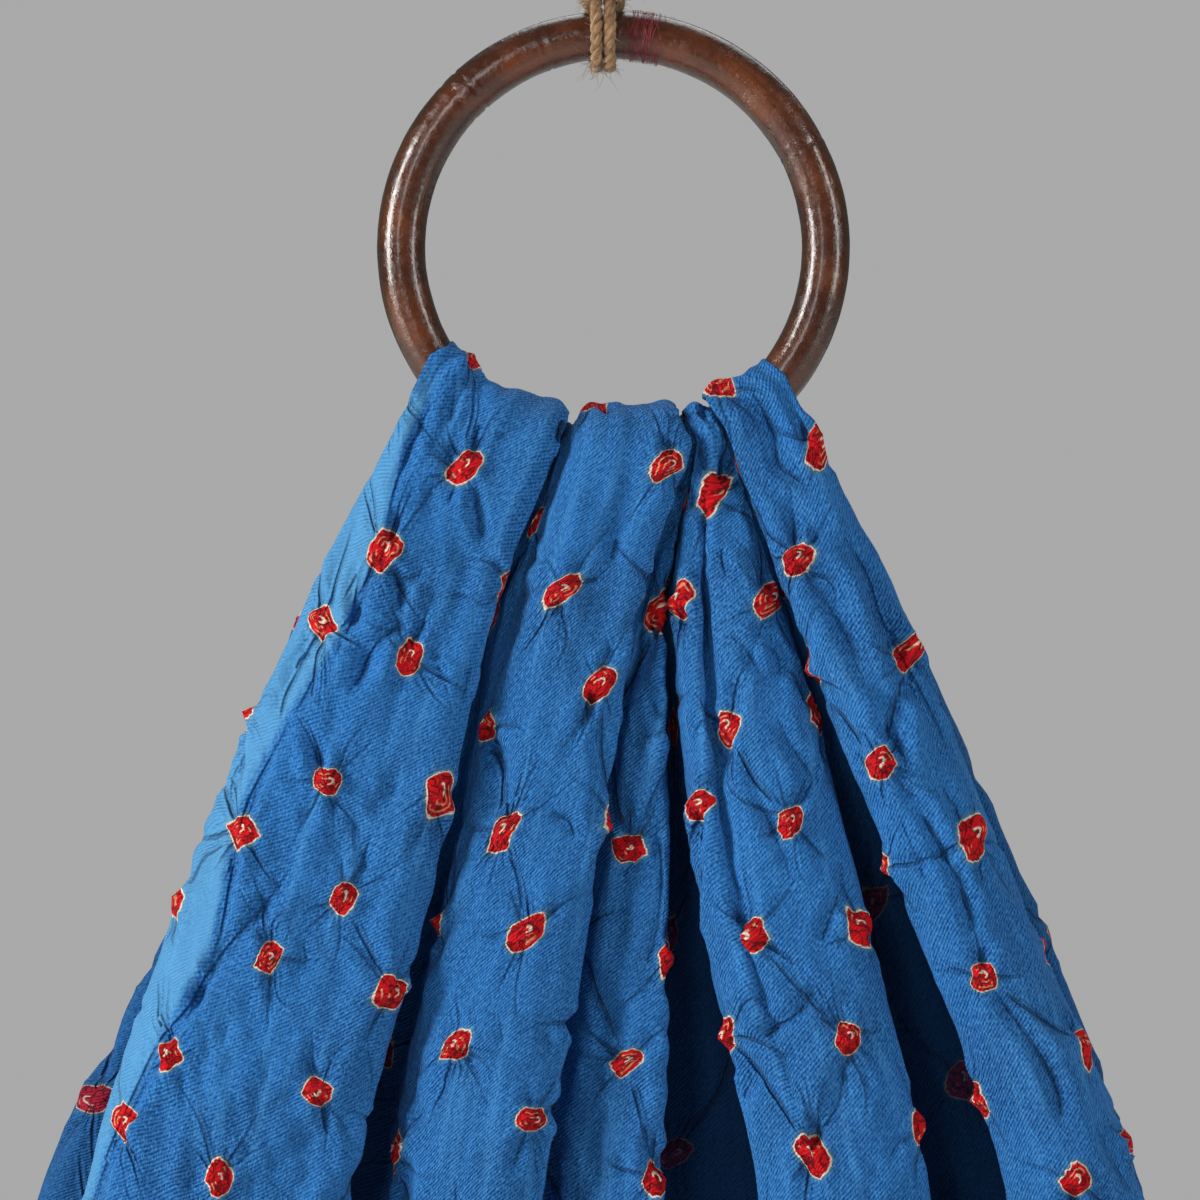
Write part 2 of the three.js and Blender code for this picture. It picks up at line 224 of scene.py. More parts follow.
class TubeBatch:
    """Collects round tubes with closed ends into one mesh.

    Its UV map, flat, is in metres: round each tube in X and along it in Y.
    """

    def __init__(self) -> None:
        """Starts empty."""
        self.points: list[np.ndarray] = []
        self.faces: list[tuple[int, ...]] = []
        self.flat: list[tuple[float, float]] = []
        self.count = 0

    @staticmethod
    def frames(line: np.ndarray) -> tuple[np.ndarray, np.ndarray]:
        """Two directions across a line at each point, carried along it without twist.

        Args:
            line: the line's points.

        Returns:
            The two directions, an array each.
        """
        tangents = np.gradient(line, axis=0)
        tangents /= np.linalg.norm(tangents, axis=1, keepdims=True)
        aside = np.cross(tangents[0], (0.3, 0.9, 0.31))
        sides = []
        for tangent in tangents:
            aside = aside - tangent * float(aside @ tangent)
            aside = aside / np.linalg.norm(aside)
            sides.append(aside)
        first = np.array(sides)
        return first, np.cross(tangents, first)

    def add(self, line: np.ndarray, radius: np.ndarray, sides: int) -> None:
        """Adds one tube.

        Args:
            line: the points of its middle.
            radius: its radius at each point.
            sides: corners of its section.
        """
        first, second = self.frames(line)
        along = lengths_along(line)
        angle = np.arange(sides) / sides * 2 * math.pi
        cosine, sine = np.cos(angle)[None, :, None], np.sin(angle)[None, :, None]
        across = first[:, None] * cosine + second[:, None] * sine
        ring = line[:, None] + across * radius[:, None, None]
        self.points += [ring.reshape(-1, 3), line[:1], line[-1:]]
        base, steps = self.count, len(line)
        start_middle = base + steps * sides
        girth = float(radius.mean()) * 2 * math.pi

        def corner(step: int, side: int) -> int:
            """The number of one corner."""
            return base + step * sides + side % sides

        for side in range(sides):
            low, high = side / sides * girth, (side + 1) / sides * girth
            for step in range(steps - 1):
                self.faces.append(
                    (
                        corner(step, side), corner(step, side + 1),
                        corner(step + 1, side + 1), corner(step + 1, side),
                    )
                )
                near, far = along[step], along[step + 1]
                self.flat += [(low, near), (high, near), (high, far), (low, far)]
            self.faces.append((corner(0, side + 1), corner(0, side), start_middle))
            self.flat += [(high, 0.0), (low, 0.0), (low, 0.0)]
            self.faces.append((corner(steps - 1, side), corner(steps - 1, side + 1), start_middle + 1))
            self.flat += [(low, along[-1]), (high, along[-1]), (low, along[-1])]
        self.count += steps * sides + 2

    def build(self, name: str) -> bpy.types.Object:
        """Makes the object of that name and links it to the scene."""
        data = bpy.data.meshes.new(name)
        data.from_pydata(np.concatenate(self.points).tolist(), [], self.faces)
        write_flat(data, np.array(self.flat))
        return smooth_object(name, data)


# Helpers for finishes

Socket = bpy.types.NodeSocket


class Bench:
    """Adds nodes to one shader tree and joins them."""

    def __init__(self, tree: bpy.types.NodeTree) -> None:
        """Works on that tree."""
        self.tree = tree

    def feed(self, socket: Socket, value: object) -> None:
        """Joins a socket to another, or sets its number or colour."""
        if isinstance(value, bpy.types.NodeSocket):
            self.tree.links.new(value, socket)
        elif value is not None:
            socket.default_value = value

    def node(self, kind: str, inputs: dict | None = None, **settings: object) -> bpy.types.Node:
        """Adds a node.

        Args:
            kind: the node's type.
            inputs: what goes into its sockets, by name or number.
            settings: its other settings.

        Returns:
            The node.
        """
        made = self.tree.nodes.new(kind)
        for key, value in settings.items():
            setattr(made, key, value)
        for key, value in (inputs or {}).items():
            self.feed(made.inputs[key], value)
        return made

    def math(self, operation: str, first: object, second: object = None, third: object = None) -> Socket:
        """A sum on numbers."""
        return self.node("ShaderNodeMath", {0: first, 1: second, 2: third}, operation=operation).outputs[0]

    def product(self, first: object, second: object) -> Socket:
        """Two numbers multiplied."""
        return self.math("MULTIPLY", first, second)

    def vector(
        self, operation: str, first: object, second: object = None, third: object = None
    ) -> bpy.types.Node:
        """A sum on vectors."""
        return self.node("ShaderNodeVectorMath", {0: first, 1: second, 2: third}, operation=operation)

    def split(self, value: Socket) -> dict[str, Socket]:
        """The parts X, Y and Z of a vector."""
        return self.node("ShaderNodeSeparateXYZ", {0: value}).outputs

    def mark(self, name: str) -> bpy.types.Node:
        """Reads an attribute of the mesh."""
        return self.node("ShaderNodeAttribute", attribute_name=name)

    def window(self, value: Socket, rise: tuple[float, float], fall: tuple[float, float]) -> Socket:
        """Goes up from 0 to 1 over the rise and down again over the fall."""
        return self.product(self.band(value, *rise), self.band(value, *fall, 1.0, 0.0))

    def band(self, value: Socket, low: float, high: float, start: float = 0.0, end: float = 1.0) -> Socket:
        """Goes smoothly from start to end as the value goes from low to high."""
        made = self.node(
            "ShaderNodeMapRange",
            {"Value": value, "From Min": low, "From Max": high, "To Min": start, "To Max": end},
            interpolation_type="SMOOTHSTEP",
        )
        return made.outputs[0]

    def blend(self, share: object, first: object, second: object, how: str = "MIX") -> Socket:
        """Mixes two colours."""
        made = self.node("ShaderNodeMix", data_type="RGBA", blend_type=how)
        for key, value in ((0, share), (6, first), (7, second)):
            self.feed(made.inputs[key], value)
        return made.outputs[2]

    def noise(
        self, place: Socket, scale: float, detail: float = 3.0, rough: float = 0.5, twist: float = 0.0
    ) -> Socket:
        """Smooth noise, as a number."""
        inputs = {"Vector": place, "Scale": scale, "Detail": detail, "Roughness": rough, "Distortion": twist}
        return self.node("ShaderNodeTexNoise", inputs).outputs[0]

    def stretch(self, place: Socket, scale: tuple[float, float, float], turn: float = 0.0) -> Socket:
        """A place turned about its third axis and scaled."""
        inputs = {"Vector": place, "Rotation": (0, 0, turn), "Scale": scale}
        return self.node("ShaderNodeMapping", inputs, vector_type="POINT").outputs[0]


def colour(red: float, green: float, blue: float) -> tuple[float, float, float, float]:
    """An opaque colour from linear shares."""
    return (red, green, blue, 1.0)


def new_group(name: str, inputs: dict[str, tuple[str, object]], outputs: dict[str, str]) -> Bench:
    """An empty shader group with named sockets.

    Args:
        name: the group's name.
        inputs: for each input its socket type, such as Float, and its first value.
        outputs: for each output its socket type.

    Returns:
        A bench on the group; its nodes named given and made carry the inputs and outputs.
    """
    tree = bpy.data.node_groups.new(name, "ShaderNodeTree")
    for title, (kind, value) in inputs.items():
        socket = tree.interface.new_socket(title, in_out="INPUT", socket_type=f"NodeSocket{kind}")
        if value is not None:
            socket.default_value = value
    for title, kind in outputs.items():
        tree.interface.new_socket(title, in_out="OUTPUT", socket_type=f"NodeSocket{kind}")
    bench = Bench(tree)
    bench.node("NodeGroupInput", name="given")
    bench.node("NodeGroupOutput", name="made")
    return bench


def place_group(bench: Bench, group: bpy.types.NodeTree, inputs: dict[str, object]) -> bpy.types.Node:
    """Puts a group into a material with its own values."""
    made = bench.node("ShaderNodeGroup", node_tree=group)
    for title, value in inputs.items():
        bench.feed(made.inputs[title], value)
    return made


class SharedEffects:
    """Effects that more than one finish uses, each a shader group made once."""

    def __init__(self) -> None:
        """Builds the groups."""
        self.mottle = self._mottle()
        self.grain = self._grain()

    @staticmethod
    def _mottle() -> bpy.types.NodeTree:
        """Uneven colour: cloudy patches and finer blots between a base and a second colour."""
        bench = new_group(
            "mottle",
            {
                "Place": ("Vector", None),
                "Base": ("Color", None),
                "Second": ("Color", None),
                "Patch size": ("Float", 10.0),
                "Amount": ("Float", 0.5),
            },
            {"Colour": "Color", "Mask": "Float"},
        )
        given = bench.tree.nodes["given"].outputs
        large = bench.node(
            "ShaderNodeTexNoise", {"Vector": given["Place"], "Scale": given["Patch size"], "Detail": 5.0}
        ).outputs[0]
        mask = bench.product(bench.band(large, 0.35, 0.68), given["Amount"])
        made = bench.tree.nodes["made"].inputs
        bench.feed(made["Colour"], bench.blend(mask, given["Base"], given["Second"]))
        bench.feed(made["Mask"], mask)
        return bench.tree

    @staticmethod
    def _grain() -> bpy.types.NodeTree:
        """Fine fibres that run along one axis, as a height from 0 to 1."""
        bench = new_group(
            "grain",
            {"Place": ("Vector", None), "Along": ("Float", 100.0), "Across": ("Float", 1500.0)},
            {"Height": "Float"},
        )
        given = bench.tree.nodes["given"].outputs
        scale = bench.node(
            "ShaderNodeCombineXYZ", {"X": given["Across"], "Y": given["Along"], "Z": given["Across"]}
        ).outputs[0]
        spread = bench.vector("MULTIPLY", given["Place"], scale).outputs[0]
        height = bench.noise(spread, 1.0, 3.0, 0.6, 0.3)
        bench.feed(bench.tree.nodes["made"].inputs["Height"], height)
        return bench.tree


def new_material(name: str) -> tuple[bpy.types.Material, Bench, bpy.types.Node]:
    """A material with only its shader.

    Args:
        name: the material's name.

    Returns:
        The material, a bench on its tree, and the Principled shader, already joined to the output.
    """
    material = bpy.data.materials.new(name)
    material.use_nodes = True
    bench = Bench(material.node_tree)
    material.node_tree.nodes.clear()
    shader = bench.node("ShaderNodeBsdfPrincipled")
    bench.node("ShaderNodeOutputMaterial", {"Surface": shader.outputs[0]})
    return material, bench, shader


# Finishes

@dataclass(frozen=True)
class Jute:
    """Rough twisted jute: tan fibres, darker between the plies, with fine fibres along the lay."""

    fibre: tuple = colour(0.33, 0.185, 0.085)
    shade: tuple = colour(0.11, 0.048, 0.018)
    pale: tuple = colour(0.56, 0.40, 0.24)

    def material(self, shared: SharedEffects) -> bpy.types.Material:
        """Builds the finish from UV: across the ply in X, along it in Y, in metres.

        Args:
            shared: the shader groups.

        Returns:
            The material.
        """
        material, bench, shader = new_material("jute")
        place = bench.node("ShaderNodeUVMap", uv_map="flat").outputs[0]
        fibres = place_group(
            bench, shared.grain, {"Place": place, "Along": 260.0, "Across": 3600.0}
        ).outputs[0]
        patches = place_group(
            bench,
            shared.mottle,
            {"Place": place, "Base": self.fibre, "Second": self.shade, "Patch size": 420.0, "Amount": 0.8},
        ).outputs["Colour"]
        tips = bench.band(fibres, 0.52, 0.72)
        bench.feed(shader.inputs["Base Color"], bench.blend(tips, patches, self.pale))
        shader.inputs["Roughness"].default_value = 0.92
        shader.inputs["Sheen Weight"].default_value = 0.25
        shader.inputs["Sheen Roughness"].default_value = 0.5
        bump = bench.node("ShaderNodeBump", {"Strength": 0.6, "Distance": 0.0003, "Height": fibres})
        bench.feed(shader.inputs["Normal"], bump.outputs[0])
        return material


@dataclass(frozen=True)
class RedThread:
    """Fine fluff of red thread."""

    dye: tuple = colour(0.26, 0.010, 0.025)
    # The thread's own faded dye, in random patches.
    faded_and_painted_light: tuple = colour(0.42, 0.07, 0.09)

    def material(self, shared: SharedEffects) -> bpy.types.Material:
        """Builds the finish."""
        material, bench, shader = new_material("red_thread")
        place = bench.node("ShaderNodeTexCoord").outputs["Object"]
        patches = place_group(
            bench,
            shared.mottle,
            {"Place": place, "Base": self.dye, "Second": self.faded_and_painted_light, "Patch size": 600.0, "Amount": 0.8},
        )
        bench.feed(shader.inputs["Base Color"], patches.outputs["Colour"])
        shader.inputs["Roughness"].default_value = 0.8
        return material


@dataclass(frozen=True)
class Lacquer:
    """Dark brown varnish over wood: glossy, uneven, reddish where it is thick and dull where it is worn."""

    brown: tuple = colour(0.050, 0.012, 0.005)
    amber: tuple = colour(0.165, 0.042, 0.011)
    olive: tuple = colour(0.020, 0.013, 0.007)
    dust: tuple = colour(0.26, 0.15, 0.10)

    def material(self, shared: SharedEffects) -> bpy.types.Material:
        """Builds the finish: UV is along the ring in X and round its section in Y, in metres.

        Args:
            shared: the shader groups.

        Returns:
            The material.
        """
        material, bench, shader = new_material("ring_lacquer")
        place = bench.node("ShaderNodeTexCoord").outputs["Object"]
        flat = bench.node("ShaderNodeUVMap", uv_map="flat").outputs[0]
        patches = place_group(
            bench,
            shared.mottle,
            {"Place": place, "Base": self.brown, "Second": self.amber, "Patch size": 75.0, "Amount": 0.75},
        )
        turned = bench.stretch(flat, (1.0, 1.0, 1.0), math.pi / 2)
        fibres = place_group(
            bench, shared.grain, {"Place": turned, "Along": 60.0, "Across": 900.0}
        ).outputs[0]
        streaked = bench.blend(
            bench.product(bench.band(fibres, 0.45, 0.7), 0.45), patches.outputs["Colour"], self.olive
        )
        # Painted shade: the section is darkened towards olive at its inside and outside edges.
        edge_painted_shade = bench.mark("edge_painted_shade").outputs["Fac"]
        shaded = bench.blend(bench.product(edge_painted_shade, 0.75), streaked, self.olive)
        blots = bench.noise(place, 160.0, 4.0, 0.6)
        specks = bench.noise(place, 2600.0, 2.0, 0.6)
        dusty = bench.product(bench.band(blots, 0.52, 0.66), bench.band(specks, 0.5, 0.66))
        worn = bench.mark("worn").outputs["Fac"]
        dull = bench.product(dusty, bench.math("MULTIPLY_ADD", worn, 0.75, 0.08))
        bench.feed(shader.inputs["Base Color"], bench.blend(dull, shaded, self.dust))
        smear = bench.noise(place, 420.0, 4.0, 0.65, 0.6)
        rough = bench.band(smear, 0.35, 0.75, 0.16, 0.45)
        bench.feed(shader.inputs["Roughness"], bench.math("MULTIPLY_ADD", dull, 0.3, rough))
        shader.inputs["Coat Weight"].default_value = 0.4
        shader.inputs["Coat Roughness"].default_value = 0.14
        dents = bench.noise(place, 520.0, 4.0, 0.55)
        height = bench.math("MULTIPLY_ADD", fibres, 0.25, bench.math("MULTIPLY_ADD", specks, 0.12, dents))
        bump = bench.node("ShaderNodeBump", {"Strength": 0.6, "Distance": 0.0004, "Height": height})
        bench.feed(shader.inputs["Normal"], bump.outputs[0])
        return material


@dataclass(frozen=True)
class DyedCotton:
    """Blue cotton twill with tied red dots, ringed in cream where the tie kept the dye out.

    The sheet's attribute shade carries two masks: painted shade on cloth deep between folds, which goes
    towards a near-black blue, and painted light on the left strip. The reverse face gets the same painted
    shade, by its own share.
    """

    blue: tuple = colour(0.009, 0.106, 0.370)
    deep: tuple = colour(0.002, 0.036, 0.160)
    # Painted shade: the near-black blue for deep cloth and for the reverse face.
    painted_shade_blue: tuple = colour(0.003, 0.018, 0.060)
    light: tuple = colour(0.055, 0.250, 0.580)
    # Painted light: the paler blue that the left strip is painted towards, where it turns to the left lamp.
    faded_and_painted_light: tuple = colour(0.110, 0.350, 0.600)
    red: tuple = colour(0.560, 0.007, 0.012)
    # Dark red of the dots' fold lines, partly dye and partly painted shade.
    dark_red: tuple = colour(0.150, 0.003, 0.007)
    orange: tuple = colour(0.760, 0.300, 0.160)
    cream: tuple = colour(0.760, 0.640, 0.500)
    halo: tuple = colour(0.150, 0.330, 0.300)
    wale_pitch: float = 0.70 * MM
    wale_turn: float = math.radians(40)
    corners: int = 4
    hook_radius: float = 0.19
    # Painted shade: how far the reverse face and deep cloth go towards the near-black blue.
    reverse_painted_shade: float = 0.55
    shade_share: float = 0.85
    # Painted light: how far the left strip goes towards that paler blue.
    painted_light_share: float = 0.6

    def _dot(self, bench: Bench) -> dict[str, Socket]:
        """Masks of a tied dot from the corner attribute dot: its own two axes in radii, and its seed.

        Args:
            bench: the material's bench.

        Returns:
            The masks by name: inside, line, halo, pale, hook, folds, around and reach.
        """
        local = bench.mark("dot").outputs["Vector"]
        seed = bench.split(local)["Z"]
        bent = bench.node(
            "ShaderNodeTexNoise", {"Vector": local, "Scale": 1.0, "Detail": 2.0, "Roughness": 0.45}
        ).outputs["Color"]
        offset = bench.vector("SUBTRACT", bent, (0.5, 0.5, 0.5)).outputs[0]
        moved = bench.vector("MULTIPLY_ADD", offset, (0.75, 0.75, 0.0), local).outputs[0]
        parts = bench.split(moved)
        plane = bench.node("ShaderNodeCombineXYZ", {"X": parts["X"], "Y": parts["Y"]}).outputs[0]
        reach = bench.vector("LENGTH", plane).outputs["Value"]
        way = bench.vector("NORMALIZE", plane).outputs[0]
        way_parts = bench.split(way)
        around = bench.node(
            "ShaderNodeCombineXYZ", {"X": way_parts["X"], "Y": way_parts["Y"], "Z": seed}
        ).outputs[0]
        turn = bench.math("ARCTAN2", parts["Y"], parts["X"])
        angle = bench.math("ADD", turn, bench.product(seed, 2.3))
        sector = bench.math("WRAP", angle, 2 * math.pi / self.corners, 0.0)
        side = bench.math(
            "POWER", bench.math("COSINE", bench.math("SUBTRACT", sector, math.pi / self.corners)), 0.42
        )
        ragged = bench.noise(local, 4.2, 2.0, 0.6)
        edge = bench.math("MULTIPLY_ADD", ragged, 0.12, 0.82)
        depth = bench.math("SUBTRACT", bench.product(reach, side), edge)
        arcs = bench.math("MULTIPLY_ADD", depth, 3.6, bench.noise(local, 1.3, 1.0))
        stripes = bench.math("ABSOLUTE", bench.math("SUBTRACT", bench.math("FRACT", arcs), 0.5))
        turned_to = bench.band(bench.noise(around, 0.9, 0.0), 0.55, 0.61)
        shallow = bench.window(depth, (-0.66, -0.56), (-0.16, -0.10))
        pale = bench.product(bench.band(stripes, 0.10, 0.22, 1.0, 0.0), bench.product(turned_to, shallow))
        from_eye = bench.vector("SUBTRACT", plane, (0.10, -0.06, 0.0)).outputs[0]
        eye_reach = bench.vector("LENGTH", from_eye).outputs["Value"]
        off_loop = bench.math("ABSOLUTE", bench.math("SUBTRACT", eye_reach, self.hook_radius))
        loop = bench.band(off_loop, 0.04, 0.085, 1.0, 0.0)
        open_to = bench.vector("DOT_PRODUCT", from_eye, (0.8, 0.6, 0.0)).outputs["Value"]
        hook = bench.product(loop, bench.band(open_to, -0.04, 0.0))
        ridged = bench.math("ABSOLUTE", bench.math("SUBTRACT", bench.noise(local, 1.9, 2.0, 0.5, 0.6), 0.5))
        return {
            "inside": bench.band(depth, -0.04, 0.0, 1.0, 0.0),
            "line": bench.window(depth, (-0.05, -0.02), (0.02, 0.055)),
            "halo": bench.window(depth, (0.02, 0.08), (0.06, 0.28)),
            "pale": pale,
            "hook": hook,
            "folds": bench.band(ridged, 0.0, 0.06),
            "around": around,
            "reach": reach,
        }

    def _cloth(self, bench: Bench, shared: SharedEffects, flat: Socket) -> Socket:
        """The blue ground, uneven in dye and streaked along the warp."""
        patches = place_group(
            bench,
            shared.mottle,
            {"Place": flat, "Base": self.blue, "Second": self.deep, "Patch size": 34.0, "Amount": 0.7},
        ).outputs["Colour"]
        streaks = bench.noise(bench.stretch(flat, (420.0, 22.0, 1.0)), 1.0, 4.0, 0.6)
        streaked = bench.blend(bench.band(streaks, 0.48, 0.75, 0.0, 0.6), patches, self.light)
        yarns = bench.noise(bench.stretch(flat, (2600.0, 1000.0, 1.0), self.wale_turn), 1.0, 2.0, 0.6)
        pale = bench.blend(bench.band(yarns, 0.45, 0.68, 0.0, 0.8), streaked, self.light)
        return bench.blend(bench.band(yarns, 0.32, 0.48, 0.8, 0.0), pale, self.deep)

    def _twill(self, bench: Bench, flat: Socket) -> Socket:
        """The height of the wales, fine slanting ribs broken by the yarns that cross them."""
        turned = bench.stretch(flat, (1.0, 1.0, 1.0), self.wale_turn)
        parts = bench.split(turned)
        drift = bench.noise(bench.stretch(flat, (150.0, 150.0, 1.0)), 1.0, 2.0)
        shift = bench.product(drift, 7.0)
        phase = bench.math("MULTIPLY_ADD", parts["Y"], 2 * math.pi / self.wale_pitch, shift)
        rib = bench.math("MULTIPLY_ADD", bench.math("SINE", phase), 0.5, 0.5)
        cross = bench.noise(bench.stretch(flat, (2600.0, 1500.0, 1.0)), 1.0, 2.0, 0.6)
        return bench.math("MULTIPLY_ADD", cross, 0.5, rib)

    def _groove(self, bench: Bench) -> tuple[Socket, Socket]:
        """The sharp line in the bottom of a crease, from the corner attribute crease.

        Args:
            bench: the material's bench.

        Returns:
            Its height in millimetres, negative in the line, and a mask of the line, which darkens the colour
            as painted shade.
        """
        parts = bench.split(bench.mark("crease").outputs["Vector"])
        away = bench.math("ABSOLUTE", parts["X"])
        deep = bench.product(bench.band(away, 0.05, 0.42, 1.0, 0.0), parts["Y"])
        beside = bench.window(away, (0.3, 0.6), (0.6, 1.3))
        shoulder = bench.product(beside, parts["Y"])
        height = bench.math("MULTIPLY_ADD", deep, -0.6, bench.product(shoulder, 0.38))
        return height, bench.math("MINIMUM", bench.product(deep, 1.1), 1.0)

    def material(self, shared: SharedEffects) -> bpy.types.Material:
        """Builds the finish from UV in metres, X across the cloth and Y along it, and the attributes.

        Args:
            shared: the shader groups.

        Returns:
            The material.
        """
        material, bench, shader = new_material("dyed_cotton")
        flat = bench.node("ShaderNodeUVMap", uv_map="flat").outputs[0]
        dot = self._dot(bench)
        ground = self._cloth(bench, shared, flat)
        twill = self._twill(bench, flat)
        groove, line = self._groove(bench)
        ribbed = bench.blend(bench.band(twill, 0.35, 1.25, 0.0, 0.42), ground, self.light)
        marks = bench.split(bench.mark("shade").outputs["Vector"])
        # Painted light: the left strip is painted a paler blue.
        turned = bench.blend(bench.product(marks["Y"], self.painted_light_share), ribbed, self.faded_and_painted_light)
        # Painted shade: the crease lines are darkened towards the deep blue.
        crease_painted_shade = bench.blend(bench.product(line, 0.42), turned, self.deep)
        haloed = bench.blend(bench.product(dot["halo"], 0.32), crease_painted_shade, self.halo)
        # Partly painted shade: the dot's fold lines are painted dark red, for the dye and for the shade in
        # the crumples.
        reds = bench.blend(dot["folds"], self.dark_red, self.red)
        streaked = bench.blend(bench.product(dot["pale"], 0.85), reds, self.orange)
        hooked = bench.blend(dot["hook"], streaked, self.cream)
        dotted = bench.blend(dot["inside"], haloed, hooked)
        lined = bench.blend(dot["line"], dotted, self.cream)
        # Painted shade: deep cloth and the whole reverse face are darkened towards a near-black blue.
        reverse = bench.node("ShaderNodeNewGeometry").outputs["Backfacing"]
        painted_shade_mix = bench.math(
            "MAXIMUM",
            bench.product(marks["X"], self.shade_share),
            bench.product(reverse, self.reverse_painted_shade),
        )
        bench.feed(shader.inputs["Base Color"], bench.blend(painted_shade_mix, lined, self.painted_shade_blue))
        shader.inputs["Roughness"].default_value = 0.85
        shader.inputs["Specular IOR Level"].default_value = 0.1
        shader.inputs["Sheen Weight"].default_value = 0.03
        shader.inputs["Sheen Roughness"].default_value = 0.4
        rays = bench.noise(dot["around"], 3.4, 2.0, 0.6)
        near = bench.window(dot["reach"], (0.8, 1.2), (1.3, 3.0))
        puckers = bench.product(rays, near)
        crumple = bench.product(dot["folds"], dot["inside"])
        crinkle = bench.noise(bench.stretch(flat, (330.0, 170.0, 1.0)), 1.0, 5.0, 0.6, 0.5)
        broad = bench.math("MULTIPLY_ADD", crinkle, 0.9, bench.product(twill, 0.19))
        drawn = bench.math("MULTIPLY_ADD", puckers, 1.4, bench.math("ADD", broad, groove))
        height = bench.math("MULTIPLY_ADD", crumple, 0.3, drawn)
        bump = bench.node("ShaderNodeBump", {"Strength": 1.0, "Distance": MM, "Height": height})
        bench.feed(shader.inputs["Normal"], bump.outputs[0])
        return material


@dataclass(frozen=True)
class PaleFloor:
    """A plain pale matt floor."""

    paint: tuple = colour(0.72, 0.71, 0.69)

    def material(self) -> bpy.types.Material:
        """Builds the finish."""
        material, bench, shader = new_material("pale_floor")
        place = bench.node("ShaderNodeTexCoord").outputs["Object"]
        grit = bench.noise(place, 40.0, 3.0)
        worn = bench.blend(bench.band(grit, 0.3, 0.8, 0.0, 0.05), self.paint, (1, 1, 1, 1))
        bench.feed(shader.inputs["Base Color"], worn)
        shader.inputs["Roughness"].default_value = 0.9
        return material


# Camera, lights and floor

@dataclass(frozen=True)
class Light:
    """One soft lamp that faces the cloth."""

    name: str
    place: tuple[float, float, float]
    width: float
    height: float
    watts: float
    tint: tuple[float, float, float]


@dataclass
class Studio:
    """A camera straight in front, soft lamps, a pale backdrop colour and a pale floor."""

    view_width: float = 253.7 * MM
    middle_x: float = -2.85 * MM
    middle_z: float = -150.5 * MM
    distance: float = 2.4
    sensor: float = 36.0
    floor_z: float = -0.43
    floor_radius: float = 1.6
    backdrop: tuple = colour(0.80, 0.80, 0.80)
    backdrop_strength: float = 0.50
    fill_strength: float = 0.13
    lamps: tuple[Light, ...] = (
        Light("left_softbox", (-1.25, -0.60, 0.15), 0.35, 0.9, 23.0, (1.0, 0.98, 0.95)),
        Light("right_softbox", (1.05, -0.62, 0.10), 0.26, 0.8, 6.0, (1.0, 0.98, 0.96)),
        Light("front_strip", (-0.50, -1.70, 0.35), 0.25, 0.9, 5.0, (1.0, 1.0, 1.0)),
        Light("back_softbox", (0.30, 1.30, 1.60), 2.00, 1.6, 20.0, (1.0, 1.0, 1.0)),
    )

    def camera(self) -> None:
        """Places the camera and makes it the scene's own."""
        data = bpy.data.cameras.new("camera")
        data.sensor_width = self.sensor
        data.lens = self.sensor * self.distance / self.view_width
        data.clip_end = 50.0
        obj = bpy.data.objects.new("camera", data)
        obj.location = (self.middle_x, -self.distance, self.middle_z)
        obj.rotation_euler = (math.pi / 2, 0, 0)
        bpy.context.collection.objects.link(obj)
        bpy.context.scene.camera = obj

    def lights(self) -> None:
        """Hangs the lamps and lights the world evenly."""
        aim = Vector((0, 0, -0.2))
        for lamp in self.lamps:
            data = bpy.data.lights.new(lamp.name, "AREA")
            data.shape = "RECTANGLE"
            data.size, data.size_y = lamp.width, lamp.height
            data.energy = lamp.watts
            data.color = lamp.tint
            obj = bpy.data.objects.new(lamp.name, data)
            obj.location = lamp.place
            obj.rotation_euler = (aim - obj.location).to_track_quat("-Z", "Y").to_euler()
            bpy.context.collection.objects.link(obj)
        world = bpy.data.worlds.new("studio")
        world.use_nodes = True
        world.node_tree.nodes.clear()
        bench = Bench(world.node_tree)
        seen, fill = (
            bench.node("ShaderNodeBackground", {"Color": self.backdrop, "Strength": strength}).outputs[0]
            for strength in (self.backdrop_strength, self.fill_strength)
        )
        direct = bench.node("ShaderNodeLightPath").outputs["Is Camera Ray"]
        mixed = bench.node("ShaderNodeMixShader", {0: direct, 1: fill, 2: seen}).outputs[0]
        bench.node("ShaderNodeOutputWorld", {"Surface": mixed})
        bpy.context.scene.world = world
        bpy.context.scene.view_settings.view_transform = "Standard"

    def floor(self) -> None:
        """Lays the floor well under the cloth's hem."""
        mesh = bmesh.new()
        bmesh.ops.create_circle(mesh, cap_ends=True, segments=96, radius=self.floor_radius)
        bmesh.ops.translate(mesh, verts=mesh.verts, vec=(0, 0, self.floor_z))
        obj = object_from_bmesh("floor", mesh)
        obj.data.materials.append(PaleFloor().material())


# Twine and threads

